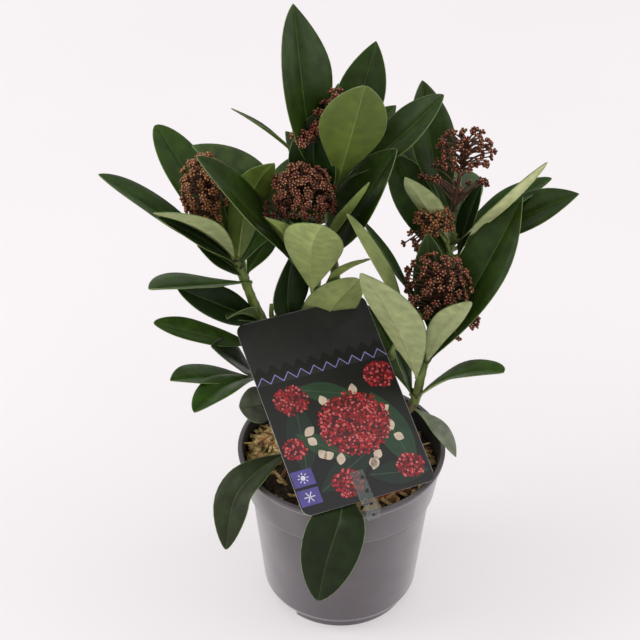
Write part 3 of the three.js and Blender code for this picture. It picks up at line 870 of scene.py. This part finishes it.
def scale_ring(soup, centre, rng):
    """A collar of short pointed scales round a shoot."""
    for number in range(SCALE["count"]):
        angle = math.tau * number / SCALE["count"] + rng.uniform(-0.2, 0.2)
        out = Vector((math.cos(angle), math.sin(angle), 0))
        side = Vector((-math.sin(angle), math.cos(angle), 0))
        foot = centre + out * SCALE["out"] + UP * rng.uniform(*SCALE["level"])
        length = rng.uniform(*SCALE["length"])
        tip = foot + (out * rng.uniform(*SCALE["lean"]) + UP).normalized() * length
        width = rng.uniform(*SCALE["width"])
        middle = foot + (tip - foot) * 0.5
        back, front = foot - out * SCALE["thickness"], middle + out * 0.5
        rim = [foot - side * width * 0.6, foot + side * width * 0.6, middle + side * width, tip,
               middle - side * width]
        faces = [(k, (k + 1) % 5, 6) for k in range(5)] + [((k + 1) % 5, k, 5) for k in range(5)]
        soup.add([*rim, back, front], faces, "scale")


# ---------------------------------------------------------------- leaves
def leaf_axes(one):
    """The leaf's own axes: ahead along it, across its width, and out of its upper side."""
    turn, climb, roll = (math.radians(angle) for angle in (one.turn, one.climb, one.roll))
    level = Vector((math.cos(turn), math.sin(turn), 0))
    ahead = level * math.cos(climb) + UP * math.sin(climb)
    over = UP * math.cos(climb) - level * math.sin(climb)
    side = ahead.cross(over)
    return (
        ahead,
        side * math.cos(roll) + over * math.sin(roll),
        over * math.cos(roll) - side * math.sin(roll),
    )


def leaf_width(share, belly, blunt, foot):
    """Half of the leaf's width at a share of its length, as a part of half its full width."""
    along = min(max(share, 0.0), 1.0) ** belly
    return max(0.0, math.sin(math.pi * along)) ** (foot if along < 0.5 else blunt)


def blade_surface(centre_at, side_at, half_at, fold, rng):
    """The function that gives the points of a blade, with its own waves along either margin."""
    phase = (rng.uniform(0, math.tau), rng.uniform(0, math.tau))

    def surface(row_share, row, place, level):
        """The point at place across the blade, from -1 to 1, raised by level mm."""
        spread = abs(place)
        vein = 4 * row_share * (1 - row_share) ** 2
        share = row_share + LEAF["vein_sweep"] * spread**1.4 * vein
        ahead = heading(centre_at, share).normalized()
        up = side_at(share).cross(ahead).normalized()
        half = half_at(share)
        turn = phase[0 if place < 0 else 1]
        wave = math.sin(math.tau * LEAF["waves"] * share + turn) * math.sin(math.pi * share)
        quilting = (-1) ** row * math.sin(math.pi * spread) * min(1.0, half / 5)
        lift = spread * half * math.sin(fold) + LEAF["quilting"] * quilting + LEAF["wave"] * spread**2 * wave
        return centre_at(share) + ahead.cross(up) * place * half * math.cos(fold) + up * (lift + level)

    return surface


def blade_row(surface, share, row, half):
    """The points round one section of the blade: over its upper side, then back underneath."""
    edge = 1 - min(LEAF["margin"] / half, 0.3)
    rib = min(LEAF["rib"] * (1.1 - 0.7 * share) / half, 0.25)
    first, second = (rib + (edge - rib) * part for part in (0.34, 0.68))
    places = [-edge, -second, -first, -rib, 0, rib, first, second, edge]
    level = LEAF["thickness"] / 2
    dip = LEAF["rib_depth"] * min(1.0, half / 4)
    points = [surface(share, row, -1, 0)]
    points += [surface(share, row, place, level - (dip if place == 0 else 0)) for place in places]
    points.append(surface(share, row, 1, 0))
    points += [surface(share, row, -place, -level - (2 * dip if place == 0 else 0)) for place in places]
    return points


def blade(soup, centre_at, side_at, half_at, top, back, rng, fold=LEAF["fold"]):
    """A closed leaf blade: a folded, slightly quilted shell with a sunken midrib and a pale margin."""
    rows, ring = LEAF["rows"], len(LEAF_STRIPS)
    surface = blade_surface(centre_at, side_at, half_at, math.radians(fold), rng)
    shares = [0.5 * row / rows + 0.25 * (1 - math.cos(math.pi * row / rows)) for row in range(rows + 1)]
    shares[-1] = LEAF["last_row"]
    points = []
    for row, share in enumerate(shares):
        points += blade_row(surface, share, row, max(half_at(share), 0.2))
    base = len(points)
    points += [centre_at(0.0), centre_at(1.0)]
    sides = {
        "top": "top_" + top,
        "rib_top": "rib_" + top,
        "back": "back_" + back,
        "rib_back": "rib_back_" + back,
    }
    strips = [sides.get(strip, strip) for strip in LEAF_STRIPS]
    faces = []
    finishes = strips * rows
    for row in range(rows):
        faces += ring_faces(row * ring, (row + 1) * ring, ring)
    for k in range(ring):
        faces += [(base, (k + 1) % ring, k), (base + 1, rows * ring + k, rows * ring + (k + 1) % ring)]
        finishes += [sides["rib_back"], strips[k]]
    soup.add(points, faces, finishes)


def add_leaf(soup, one, rng):
    ahead, side, over = leaf_axes(one)

    def centre_at(share):
        arch = 4 * share * (1 - share) * one.reach
        return one.root + ahead * (share * one.reach) + over * (one.bow * arch) + side * (one.sweep * arch)

    def half_at(share):
        half = one.width / 2 * leaf_width(share, one.belly, one.blunt, one.foot)
        return max(half, LEAF["petiole"] * (1 - share))

    blade(soup, centre_at, lambda share: side, half_at, one.top, one.back, rng)


def make_leaves():
    for name, leaves in SHOOTS.items():
        soup = Soup()
        rng = random.Random(name)
        for one in leaves:
            add_leaf(soup, one, rng)
        soup.piece("leaves_" + name, "foliage", "foliage_" + name)
    for name, shape in RIM_LEAVES.items():
        rim_leaf(name, shape)


def rim_leaf(name, shape):
    points = [Vector(point) for point in shape.route]
    overall = (points[-1] - points[0]).cross(UP).normalized() * shape.steady

    def centre_at(share):
        return spline(points, share)

    def side_at(share):
        return (heading(centre_at, share).cross(UP).normalized() + overall).normalized()

    def half_at(share):
        along = (share - shape.blade_from) / (1 - shape.blade_from)
        half = shape.width / 2 * leaf_width(along, shape.belly, shape.blunt, shape.blunt)
        return max(half, 1.4 - 0.9 * share)

    soup = Soup()
    blade(soup, centre_at, side_at, half_at, shape.top, "pale", random.Random(name), shape.fold)
    soup.piece(name + "_blade", "foliage", name)


# ---------------------------------------------------------------- flower buds
def bud(soup, at, ahead, size, tone):
    """A closed bud, an egg with its pale point ahead; the pale point is partly its own colour and partly a
    painted highlight.
    """
    across = ahead.orthogonal().normalized()
    beside = ahead.cross(across)
    half = ahead * size * BUD["long"]
    points = [at - half]
    for angle in (math.radians(ring) for ring in BUD["rings"]):
        for x, y in circle(size * math.sin(angle), BUD["sides"]):
            points.append(at - half * math.cos(angle) + across * x + beside * y)
    points.append(at + half * BUD["point"])
    faces = pointed_faces(len(BUD["rings"]), BUD["sides"])
    finishes = [tone] * (len(faces) - BUD["sides"]) + ["bud_tip"] * BUD["sides"]
    soup.add(points, faces, finishes)


def spray(stalks, buds, start, tip, outward, shape, rng):
    """One branch of a panicle: a curved stalk with a cluster of buds at its end."""
    bend = start + (tip - start) * 0.5 + UP * (tip - start).length * STALK["arch"]
    widths = [STALK["branch"] * (1.15 - 0.1 * step) for step in range(6)]
    tube(stalks, curve([start, bend, tip], 5), widths, 6, "flower_stalk")
    across = outward.orthogonal().normalized()
    beside = outward.cross(across)
    first_turn = rng.uniform(0, math.tau)
    count = max(3, shape.cluster + rng.choice((-1, 0, 0, 1)))
    for number in range(count):
        size = BUD["radius"] * rng.uniform(*BUD["sizes"])
        turn = first_turn + math.tau * number / max(1, count - 1)
        lean = 0.0 if number == 0 else rng.uniform(*STALK["lean"])
        way = (outward + (across * math.cos(turn) + beside * math.sin(turn)) * lean).normalized()
        at = tip + way * rng.uniform(*STALK["reach"])
        tube(stalks, [tip - outward * 0.4, tip + way * 0.9, at], [STALK["pedicel"]] * 3, 5, "flower_stalk")
        bud(buds, at, way, size, rng.choice(BUD_TONES[shape.tone]))


def make_panicle(name, shape):
    """A cone of buds: branches leave a central axis and end on an uneven egg round it."""
    rng = random.Random(name)
    stalks, buds = Soup(), Soup()
    foot, centre, size = Vector(shape.foot), Vector(shape.centre), Vector(shape.size)
    head = centre + UP * (size.z * 0.5)
    axis = [foot + (head - foot) * (step / 8) for step in range(9)]
    widths = [STALK["axis"] * (1 - 0.07 * step) for step in range(9)]
    tube(stalks, axis, widths, 8, "flower_stalk")

    def branch(tip, way):
        level = min(max((tip.z - foot.z) - (tip - centre).length * 0.55, 1.5), head.z - foot.z)
        start = foot + (head - foot) * (level / (head.z - foot.z))
        outward = (tip - start).normalized()
        spray(stalks, buds, start, tip, (outward + way).normalized(), shape, rng)

    for number in range(shape.sprays):
        height = 1 - HEAD["down_to"] * (number + 0.5) / shape.sprays
        way = direction(height, number * GOLDEN_TURN + rng.uniform(-0.25, 0.25))
        reach = HEAD["inner"] + (1 - HEAD["inner"]) * math.sqrt(rng.random())
        tip = centre + Vector(way[i] * (size[i] - HEAD["bud_depth"]) * reach for i in range(3))
        branch(tip + Vector(rng.uniform(-1, 1) for _ in range(3)), way)
    for middle, spread, count in shape.bits:
        for _ in range(count):
            way = direction(rng.uniform(-0.5, 1), rng.uniform(0, math.tau))
            branch(Vector(middle) + way * spread * rng.uniform(0.4, 1.0), way)
    stalks.piece("flower_stalks_" + name, "shoot")
    buds.piece("flower_buds_" + name, "foliage")


def direction(height, turn):
    """The way from a ball's middle to the point on it at a height and a turn."""
    flat = math.sqrt(1 - height**2)
    return Vector((flat * math.cos(turn), flat * math.sin(turn), height))


# ---------------------------------------------------------------- pot
def rounded(profile, corner):
    """The profile, a list of radius and height, with its corners turned into small curves."""
    made = [profile[0]]
    for before, here, after in zip(profile, profile[1:], profile[2:]):
        here = Vector(here)
        ways = [Vector(before) - here, Vector(after) - here]
        ends = [here + way.normalized() * min(corner, way.length / 2.2) for way in ways]
        for t in (0.0, 0.33, 0.67, 1.0):
            made.append(tuple(ends[0] * (1 - t) ** 2 + here * 2 * t * (1 - t) + ends[1] * t**2))
    return made + [profile[-1]]


def lathe(profile, sides, finish_of):
    """Turns a profile that starts and ends on the axis into a closed body."""
    inner = profile[1:-1]
    points = [UP * profile[0][1]]
    for radius, height in inner:
        points += [Vector((x, y, height)) for x, y in circle(radius, sides)]
    points.append(UP * profile[-1][1])
    rings = [0, *range(len(inner) - 1), len(inner)]
    finishes = [finish_of(ring) for ring in rings for _ in range(sides)]
    soup = Soup()
    soup.add(points, pointed_faces(len(inner), sides), finishes)
    return soup


def pot_profile():
    """The outside from the centre of the base up to the lip, then the inside back down."""
    foot, step, wall = POT["foot_radius"], POT["foot_step"], POT["wall"]
    collar, body, waist = POT["collar_top"], POT["body_top"], POT["body_bottom"]
    lip_foot = POT["rim_height"] - POT["lip_height"]
    groove = [(foot - 3, 0), (foot - 2.4, POT["groove"]), (foot - 1.4, 0)]
    outside = [
        (0, 0),
        *groove,
        (foot, 0),
        (foot + 0.6, step - 0.2),
        (foot + 1.8, step + 0.2),
        (waist - 0.9, POT["body_foot"] - 2.2),
        (waist, POT["body_foot"]),
        (body, POT["collar_foot"] - POT["ledge"]),
        (POT["collar_bottom"], POT["collar_foot"]),
        (collar, lip_foot - POT["ledge"]),
        (collar + POT["lip_step"], lip_foot),
        (POT["rim_radius"], POT["rim_height"]),
    ]
    inside = [
        (collar - wall, POT["rim_height"]),
        (POT["collar_bottom"] - wall, POT["collar_foot"]),
        (body - wall, POT["collar_foot"] - 2.5),
        (waist - wall - 1.2, POT["body_foot"]),
        (foot - wall, step + 0.2),
        (foot - wall - 0.4, POT["base"]),
        (0, POT["base"]),
    ]
    return outside + inside


def make_pot():
    profile = rounded(pot_profile(), POT["corner"])
    # The lip is the highest point, and of those of one height the outermost.
    lip = max(range(len(profile)), key=lambda i: profile[i][1] * 10 + profile[i][0])
    # From the lip inwards the faces take the darker inside colour, which is painted shade.
    soup = lathe(profile, POT["sides"], lambda ring: "pot" if ring < lip else "pot_inside")
    pot = soup.piece("pot_wall", "pot", "pot", crease=40)
    blocks = drain_blocks()
    cut = pot.modifiers.new("drain_notches", "BOOLEAN")
    cut.object = blocks
    cut.operation = "DIFFERENCE"
    cut.solver = "EXACT"
    bpy.context.view_layer.update()
    whole = pot.evaluated_get(bpy.context.evaluated_depsgraph_get())
    mesh = bpy.data.meshes.new_from_object(whole)
    pot.modifiers.clear()
    pot.data = mesh
    bpy.data.objects.remove(blocks)


def drain_blocks():
    """The blocks that cut the notches round the foot, each with a sloping roof."""
    soup = Soup()
    depth, half, middle = DRAIN["depth"], DRAIN["width"] / 2, POT["foot_radius"]
    spans = (-depth, depth + DRAIN["past"]), (-half, half), (-2, DRAIN["height"])
    faces = [(0, 1, 3, 2), (4, 6, 7, 5), (0, 4, 5, 1), (2, 3, 7, 6), (0, 2, 6, 4), (1, 5, 7, 3)]
    for number in range(DRAIN["count"]):
        turn = Matrix.Rotation(math.radians(DRAIN["first_turn"] + 360 * number / DRAIN["count"]), 3, "Z")
        points = [Vector((middle + x, y, z)) for x in spans[0] for y in spans[1] for z in spans[2]]
        for point in points:
            if point.z > 0 and point.x < middle:
                point.z -= DRAIN["roof_fall"]
        soup.add([turn @ point for point in points], faces, "pot")
    return soup.piece("drain_blocks", "pot")


# ---------------------------------------------------------------- compost and its bark chips
def compost_side(height):
    """The pot's inner radius at a height."""
    foot, top, low, high = POT["body_foot"], POT["collar_foot"], POT["body_bottom"], POT["body_top"]
    if height >= POT["collar_foot"]:
        foot, top, low, high = POT["collar_foot"], POT["rim_height"], POT["collar_bottom"], POT["collar_top"]
    return low + (high - low) * (height - foot) / (top - foot) - POT["wall"]


def compost_height(x, y):
    """The height of the compost's uneven top, with the heap of bark at its left."""
    share = math.hypot(x, y) / compost_side(COMPOST["top"])
    level = COMPOST["top"] + COMPOST["crown"] * (1 - share**2) - COMPOST["slump"] * share**4
    away = math.hypot(x - HEAP["at"][0], y - HEAP["at"][1]) / HEAP["spread"]
    level += HEAP["rise"] * math.exp(-(away**2))
    lumps = noise.noise(Vector((x, y, 0)) * 0.11) + 0.6 * noise.noise(Vector((x, y, 9)) * 0.31)
    return level + COMPOST["lumps"] * lumps * (1 - share**6)


def on_compost(x, y, lift=0.0):
    return Vector((x, y, compost_height(x, y) + lift))


def make_compost():
    rings, spokes = COMPOST["rings"], COMPOST["spokes"]
    edge = compost_side(COMPOST["top"]) - COMPOST["gap"]
    points = [on_compost(0, 0)]
    for ring in range(1, rings + 1):
        points += [on_compost(x, y) for x, y in circle(edge * ring / rings, spokes)]
    faces = [(0, 1 + k, 1 + (k + 1) % spokes) for k in range(spokes)]
    for ring in range(rings - 1):
        faces += ring_faces(1 + (ring + 1) * spokes, 1 + ring * spokes, spokes)
    # Below its top the compost keeps clear of the pot's wall, foot and base.
    below = [
        (compost_side(POT["collar_foot"] - 3) - 0.5, POT["collar_foot"] - 3),
        (POT["body_bottom"] - POT["wall"] - 1.6, POT["body_foot"] + 0.3),
        (POT["foot_radius"] - 7, POT["base"] + 0.4),
    ]
    last = 1 + (rings - 1) * spokes
    for radius, height in below:
        start = len(points)
        points += [Vector((x, y, height)) for x, y in circle(radius, spokes)]
        faces += ring_faces(start, last, spokes)
        last = start
    faces.append(tuple(range(last, last + spokes))[::-1])
    soup = Soup()
    soup.add(points, faces, "soil")
    soup.piece("compost", "compost", "soil")


def chip(soup, at, way, over, size, finish, rng):
    """A sliver of bark: a flat six-sided bar with slanting ends."""
    length, width, thick = size
    side = over.cross(way).normalized()
    over = way.cross(side)
    slant = rng.uniform(-0.3, 0.3) * width
    points = []
    for end in (-1, 1):
        taper = rng.uniform(0.5, 0.95)
        middle = at + way * (end * length / 2)
        for across, level in CHIP_SECTION:
            skew = way * (slant * across * end)
            points.append(middle + side * (across * width / 2 * taper) + over * (level * thick / 2) + skew)
    soup.add(points, barrel_faces(2, len(CHIP_SECTION)), finish)


def strew_chips(soup, rng):
    """Bark chips all over the compost, with one in every few on the heap."""
    inside = compost_side(COMPOST["top"]) - CHIPS["clear"]
    for number in range(CHIPS["count"]):
        if number % CHIPS["heap_every"] == 0:
            x, y = spot_in_disc(rng, HEAP["at"], HEAP["spread"], HEAP["stretch"])
        else:
            x, y = spot_in_disc(rng, (0, 0), inside)
        length = rng.uniform(*CHIPS["length"])
        reach, limit = math.hypot(x, y), inside - length * 0.3
        if reach > limit:
            x, y = x * limit / reach, y * limit / reach
        turn = rng.uniform(0, math.tau)
        way = Vector((math.cos(turn), math.sin(turn), rng.uniform(-0.35, 0.35))).normalized()
        over = Vector((rng.uniform(-0.4, 0.4), rng.uniform(-0.4, 0.4), 1)).normalized()
        size = (length, rng.uniform(*CHIPS["width"]), rng.uniform(*CHIPS["thickness"]))
        at = on_compost(x, y, rng.uniform(*CHIPS["lift"]))
        chip(soup, at, way, over, size, rng.choice(CHIP_MIX), rng)


def make_chips():
    rng = random.Random(11)
    chips = Soup()
    strew_chips(chips, rng)
    way = Vector(ORANGE_CHIPS["way"]).normalized()
    for x, y in ORANGE_CHIPS["at"]:
        at = on_compost(x, y, ORANGE_CHIPS["lift"])
        chip(chips, at, way, UP, ORANGE_CHIPS["size"], "chip_orange", rng)
    chips.piece("bark_chips", "compost")
    straws = Soup()
    for start, end in STRAWS:
        first, last = Vector(start), Vector(end)
        line = curve([first, (first + last) / 2 + UP * 1.5, last], 6)
        tube(straws, line, [STRAW_RADIUS] * len(line), 6, "chip_straw")
    for _ in range(MOSS["count"]):
        foot = on_compost(*spot_in_disc(rng, MOSS["at"], MOSS["spread"]))
        way = Vector((rng.uniform(-0.7, 0.7), rng.uniform(-0.7, 0.7), 1)).normalized()
        line = [foot, foot + way * 1.4, foot + way * rng.uniform(*MOSS["length"])]
        tube(straws, line, MOSS["radii"], 5, "moss")
    straws.piece("straws_and_moss", "compost")


# ---------------------------------------------------------------- card
def card_frame():
    """X along the card's lower edge, Y up the card and Z out of its face."""
    turn = Matrix.Rotation(math.radians(CARD["turn"]), 4, "Z")
    lean = Matrix.Rotation(math.radians(90 - CARD["lean"]), 4, "X")
    return Matrix.Translation(Vector(CARD["lower_left"])) @ turn @ lean


def card_outline(inset):
    """The card's rounded outline, anticlockwise."""
    corner = CARD["corner"]
    right, top = CARD["width"] - corner, CARD["height"] - corner
    made = []
    for x, y, first in ((right, corner, -90), (right, top, 0), (corner, top, 90), (corner, corner, 180)):
        made += [compass_point((x, y), first + 90 * step / 8, corner - inset) for step in range(9)]
    return made


def compass_point(middle, turn, away):
    """The point on the card that lies away from middle in the direction turn, in degrees."""
    return middle[0] + away * math.cos(math.radians(turn)), middle[1] + away * math.sin(math.radians(turn))


def slab(soup, outline, low, high, face, edge):
    """A flat shape with a front, a back and a rim, from a height low to high over the card's middle."""
    placed = card_frame()
    count = len(outline)
    points = [placed @ Vector((x, y, z)) for z in (low, high) for x, y in outline]
    soup.add(points, caps(count, count) + ring_faces(0, count, count), [edge, face] + [edge] * count)


def print_shape(soup, outline, coats, finish):
    """A flat printed shape that stands out from the card's face by that many coats of ink."""
    slab(soup, outline, FACE, FACE + coats * PRINT["ink"], finish, finish)


def print_line(soup, line, width, coats, finish):
    """A thin printed line of even width through the points."""
    for start, end in zip(line, line[1:]):
        start, end = Vector(start), Vector(end)
        way = (end - start).normalized() * width / 2
        side = Vector((-way.y, way.x))
        start, end = start - way * 0.4, end + way * 0.4
        print_shape(soup, [start - side, end - side, end + side, start + side], coats, finish)


def make_card():
    soup = Soup()
    slab(soup, card_outline(0), -FACE, FACE, "card", "card_edge")
    print_zigzag(soup)
    for low in SQUARES["lows"]:
        left, right, high = SQUARES["left"], SQUARES["right"], low + SQUARES["height"]
        print_shape(soup, [(left, low), (right, low), (right, high), (left, high)], 5, "ink_purple")
    print_signs(soup)
    print_edge_lines(soup)
    print_picture(soup, random.Random(23))
    soup.piece("plant_card_print", "card", "plant_card", crease=30)


def print_zigzag(soup):
    """The toothed line across the card, with a darker toothed band over it."""
    pitch = (CARD["width"] - 1) / PRINT["teeth"]
    steps = range(2 * PRINT["teeth"] + 1)
    line = [(0.5 + pitch * step / 2, PRINT["level"] + PRINT["tooth"] * (step % 2)) for step in steps]
    for (x0, y0), (x1, y1) in zip(line, line[1:]):
        band = [(x0, y0), (x1, y1), (x1, y1 + PRINT["shadow"]), (x0, y0 + PRINT["shadow"])]
        print_shape(soup, band, 1, "card_shadow")
    print_line(soup, line, PRINT["line"], 3, "ink_lilac")


def print_signs(soup):
    """Two plain signs on the squares: a sun, a disc with rays, and a frost star of crossed bars."""
    print_shape(soup, circle(SUN["disc"], 16, SUN["at"]), 6, "ink_white")
    for number in range(SUN["rays"]):
        ray = [compass_point(SUN["at"], 360 * number / SUN["rays"], away) for away in SUN["ray"]]
        print_line(soup, ray, SUN["line"], 6, "ink_white")
    for number in range(STAR["bars"]):
        turn = 180 * number / STAR["bars"]
        bar = [compass_point(STAR["at"], turn, away) for away in (-STAR["bar"], STAR["bar"])]
        print_line(soup, bar, STAR["line"], 6, "ink_white")


def print_edge_lines(soup):
    """The thin pale line along the top and right edges of the card's face."""
    inset, corner = PRINT["edge_line"] / 2, CARD["corner"]
    right, top = CARD["width"], CARD["height"]
    print_line(soup, [(corner, top - inset), (right - corner, top - inset)], 2 * inset, 1, "card_worn")
    print_line(soup, [(right - inset, corner), (right - inset, top - corner)], 2 * inset, 1, "card_worn")


def pointed_oval(middle, turn, length, width):
    """The outline of a printed leaf or petal."""
    ahead = Vector(compass_point((0, 0), turn, 1))
    side = Vector((-ahead.y, ahead.x)) * (width / 2)
    shares = [step / 10 for step in range(11)]
    right = [ahead * ((s - 0.5) * length) - side * math.sin(math.pi * s) ** 0.9 for s in shares]
    left = [ahead * ((s - 0.5) * length) + side * math.sin(math.pi * s) ** 0.9 for s in shares[1:-1]]
    return [(middle[0] + p.x, middle[1] + p.y) for p in right + left[::-1]]


def in_picture(outline):
    """Keeps an outline inside the printed picture."""
    inset = PRINT["inset"]
    return [(min(max(x, inset), CARD["width"] - inset), min(max(y, inset), PICTURE_TOP)) for x, y in outline]


def print_picture(soup, rng):
    """Generic berries, leaves and petals on a dark ground in the lower part of the card."""
    print_shape(soup, [(x, min(y, PICTURE_TOP)) for x, y in card_outline(0.5)], 0.6, "card_shadow")
    for number, (middle, turn, length, width) in enumerate(PRINTED_LEAVES):
        coats = 2 + 0.3 * number
        outline = in_picture(pointed_oval(middle, turn, length, width))
        print_shape(soup, outline, coats, "ink_leaf" if number % 2 else "ink_leaf_dark")
        rib = in_picture([compass_point(middle, turn, length * share) for share in (-0.45, 0.45)])
        print_line(soup, rib, 0.3, coats + 0.2, "ink_rib")
    for _ in range(PETALS["count"]):
        turn, away = rng.uniform(0, 360), rng.uniform(*PETALS["away"])
        middle = compass_point(PETALS["round"], turn, away)
        petal = pointed_oval(middle, rng.uniform(0, 360), rng.uniform(*PETALS["length"]), PETALS["width"])
        print_shape(soup, in_picture(petal), 4, "ink_cream")
    for middle, spread, count in PRINTED_HEADS:
        blotch = circle(0.9 * spread, 20, middle, squash=0.82 / 0.9)
        print_shape(soup, in_picture(blotch), 4.4, "ink_red_deep")
        for _ in range(count):
            x, y = spot_in_disc(rng, middle, spread, 0.9)
            size = rng.uniform(*BERRIES["radius"])
            if berry_fits(x, y, size):
                print_berry(soup, (x, y), size, rng.choice(BERRIES["mix"]))


def berry_fits(x, y, size):
    """Whether a berry lies whole in the picture and clear of the squares with the signs."""
    on_squares = x < BERRIES["clear_of"][0] and y < BERRIES["clear_of"][1]
    in_width = size < x < CARD["width"] - size
    return in_width and PRINT["inset"] + size < y < PICTURE_TOP - size and not on_squares


def print_berry(soup, middle, size, finish):
    """One printed berry, a low seven-sided cone."""
    placed = card_frame()
    level = FACE + 5 * PRINT["ink"]
    ring = circle(size, 7, middle)
    points = [placed @ Vector((x, y, height)) for height in (FACE, level) for x, y in ring]
    points.append(placed @ Vector((*middle, level + BERRIES["rise"])))
    faces = ring_faces(0, 7, 7) + [(7 + k, 7 + (k + 1) % 7, 14) for k in range(7)] + [tuple(range(7))[::-1]]
    soup.add(points, faces, finish)


# ---------------------------------------------------------------- clip
def card_slope():
    """The ways up the card and out of its face, each as a distance back and a height."""
    slope = math.radians(90 - CARD["lean"])
    return Vector((math.cos(slope), math.sin(slope))), Vector((-math.sin(slope), math.cos(slope)))


def clip_profile():
    """The strip's middle line, as a distance back from the card's lower edge and a height over it."""
    up, out = card_slope()
    half = CLIP["thickness"] / 2
    lift = out * (FACE + CLIP["gap"] + half)
    shelf = max(lift.y, POT["rim_height"] + CLIP["over_rim"] - CARD["lower_left"][2] + half)
    reach = CLIP["reach"] + half
    return [
        up * CLIP["up_card"] + lift,
        Vector((lift.x, shelf)),
        Vector((-reach, shelf)),
        Vector((-reach, shelf - CLIP["hook"])),
    ]


def make_clip():
    """A clear strip that lies on the card, runs out over the rim and hooks down outside it."""
    line = [Vector(point) for point in rounded([tuple(point) for point in clip_profile()], CLIP["bend"])]
    turn = Matrix.Rotation(math.radians(CARD["turn"]), 4, "Z")
    placed = Matrix.Translation(Vector(CARD["lower_left"])) @ turn
    middle = CARD["width"] * CLIP["along_edge"]
    points = []
    for index, here in enumerate(line):
        way = (line[min(index + 1, len(line) - 1)] - line[max(index - 1, 0)]).normalized()
        off = Vector((-way.y, way.x)) * CLIP["thickness"] / 2
        for across, level in ((-1, 1), (1, 1), (1, -1), (-1, -1)):
            spot = here + off * level
            points.append(placed @ Vector((middle + across * CLIP["width"] / 2, spot.x, spot.y)))
    soup = Soup()
    soup.add(points, barrel_faces(len(line), 4), "clip")
    up, out = card_slope()
    _, corner, outer, hook = clip_profile()
    studs = [
        (corner + up * 12.5, out, 2.2),
        (corner + up * 4.5, out, 2.0),
        ((corner + outer) / 2, Vector((0, 1)), 0.6),
        ((outer + hook) / 2, Vector((-1, 0)), 0.0),
    ]
    for spot, way, aside in studs:
        stud(soup, placed, Vector((middle + aside, spot.x, spot.y)), Vector((0, way.x, way.y)))
    soup.piece("card_clip_strip", "clip", "card_clip", crease=40)


def stud(soup, placed, at, way):
    """A small black stud through the clip: a domed disc that stands out along way."""
    across, low = Vector((1, 0, 0)), at + way * (CLIP["thickness"] / 2 - 0.1)
    beside = way.cross(across)
    points = []
    for radius, rise in ((STUD["radius"], 0), (STUD["radius"], 0.5), (STUD["radius"] * 0.7, 1)):
        level = low + way * STUD["height"] * rise
        points += [placed @ (level + across * x + beside * y) for x, y in circle(radius, STUD["sides"])]
    soup.add(points, barrel_faces(3, STUD["sides"]), "stud")


# ---------------------------------------------------------------- stage
def make_floor():
    mesh = bpy.data.meshes.new("floor")
    corners = [(-FLOOR, -FLOOR, 0), (FLOOR, -FLOOR, 0), (FLOOR, FLOOR, 0), (-FLOOR, FLOOR, 0)]
    mesh.from_pydata(corners, [], [(0, 1, 2, 3)])
    glow = {"Emission Color": (1.0, 0.955, 0.975, 1.0), "Emission Strength": 0.42}
    mesh.materials.append(Finish("pale_floor", (184, 180, 182), 0.9, glow).speckle(0.01, 300).material)
    floor = add_object("floor", mesh)


def make_lights():
    world = bpy.data.worlds.new("pale_studio")
    world.use_nodes = True
    background = world.node_tree.nodes["Background"]
    background.inputs["Color"].default_value = (1.0, 0.985, 0.99, 1.0)
    background.inputs["Strength"].default_value = 0.78
    bpy.context.scene.world = world
    for name, (at, size, power) in LIGHTS.items():
        light = bpy.data.lights.new(name, "AREA")
        light.shape = "DISK"
        light.size = size
        light.energy = power
        made = add_object(name, light)
        made.location = at
        made.rotation_euler = (Vector(LIGHTS_AIM) - Vector(at)).to_track_quat("-Z", "Y").to_euler()


def make_camera():
    data = bpy.data.cameras.new("camera")
    data.sensor_width = CAMERA["sensor"]
    data.lens = CAMERA["focal_px"] * CAMERA["sensor"] / CAMERA["frame_px"]
    data.clip_start = 0.05
    data.clip_end = 20
    tilt = Matrix.Rotation(math.radians(90 - CAMERA["down"]), 4, "X")
    roll = Matrix.Rotation(math.radians(CAMERA["roll"]), 4, "Z")
    camera = add_object("camera", data)
    camera.matrix_world = Matrix.Translation(Vector(CAMERA["at"]) * MM) @ tilt @ roll
    bpy.context.scene.camera = camera


# ---------------------------------------------------------------- assembly
FINISHES = make_finishes()
make_camera()
make_lights()
make_floor()
make_pot()
make_compost()
make_chips()
make_card()
make_clip()
make_wood()
make_twigs()
make_leaves()
for panicle_name, panicle in PANICLES.items():
    make_panicle(panicle_name, panicle)

scene = bpy.context.scene
scene.view_settings.view_transform = "Standard"
bpy.context.view_layer.update()
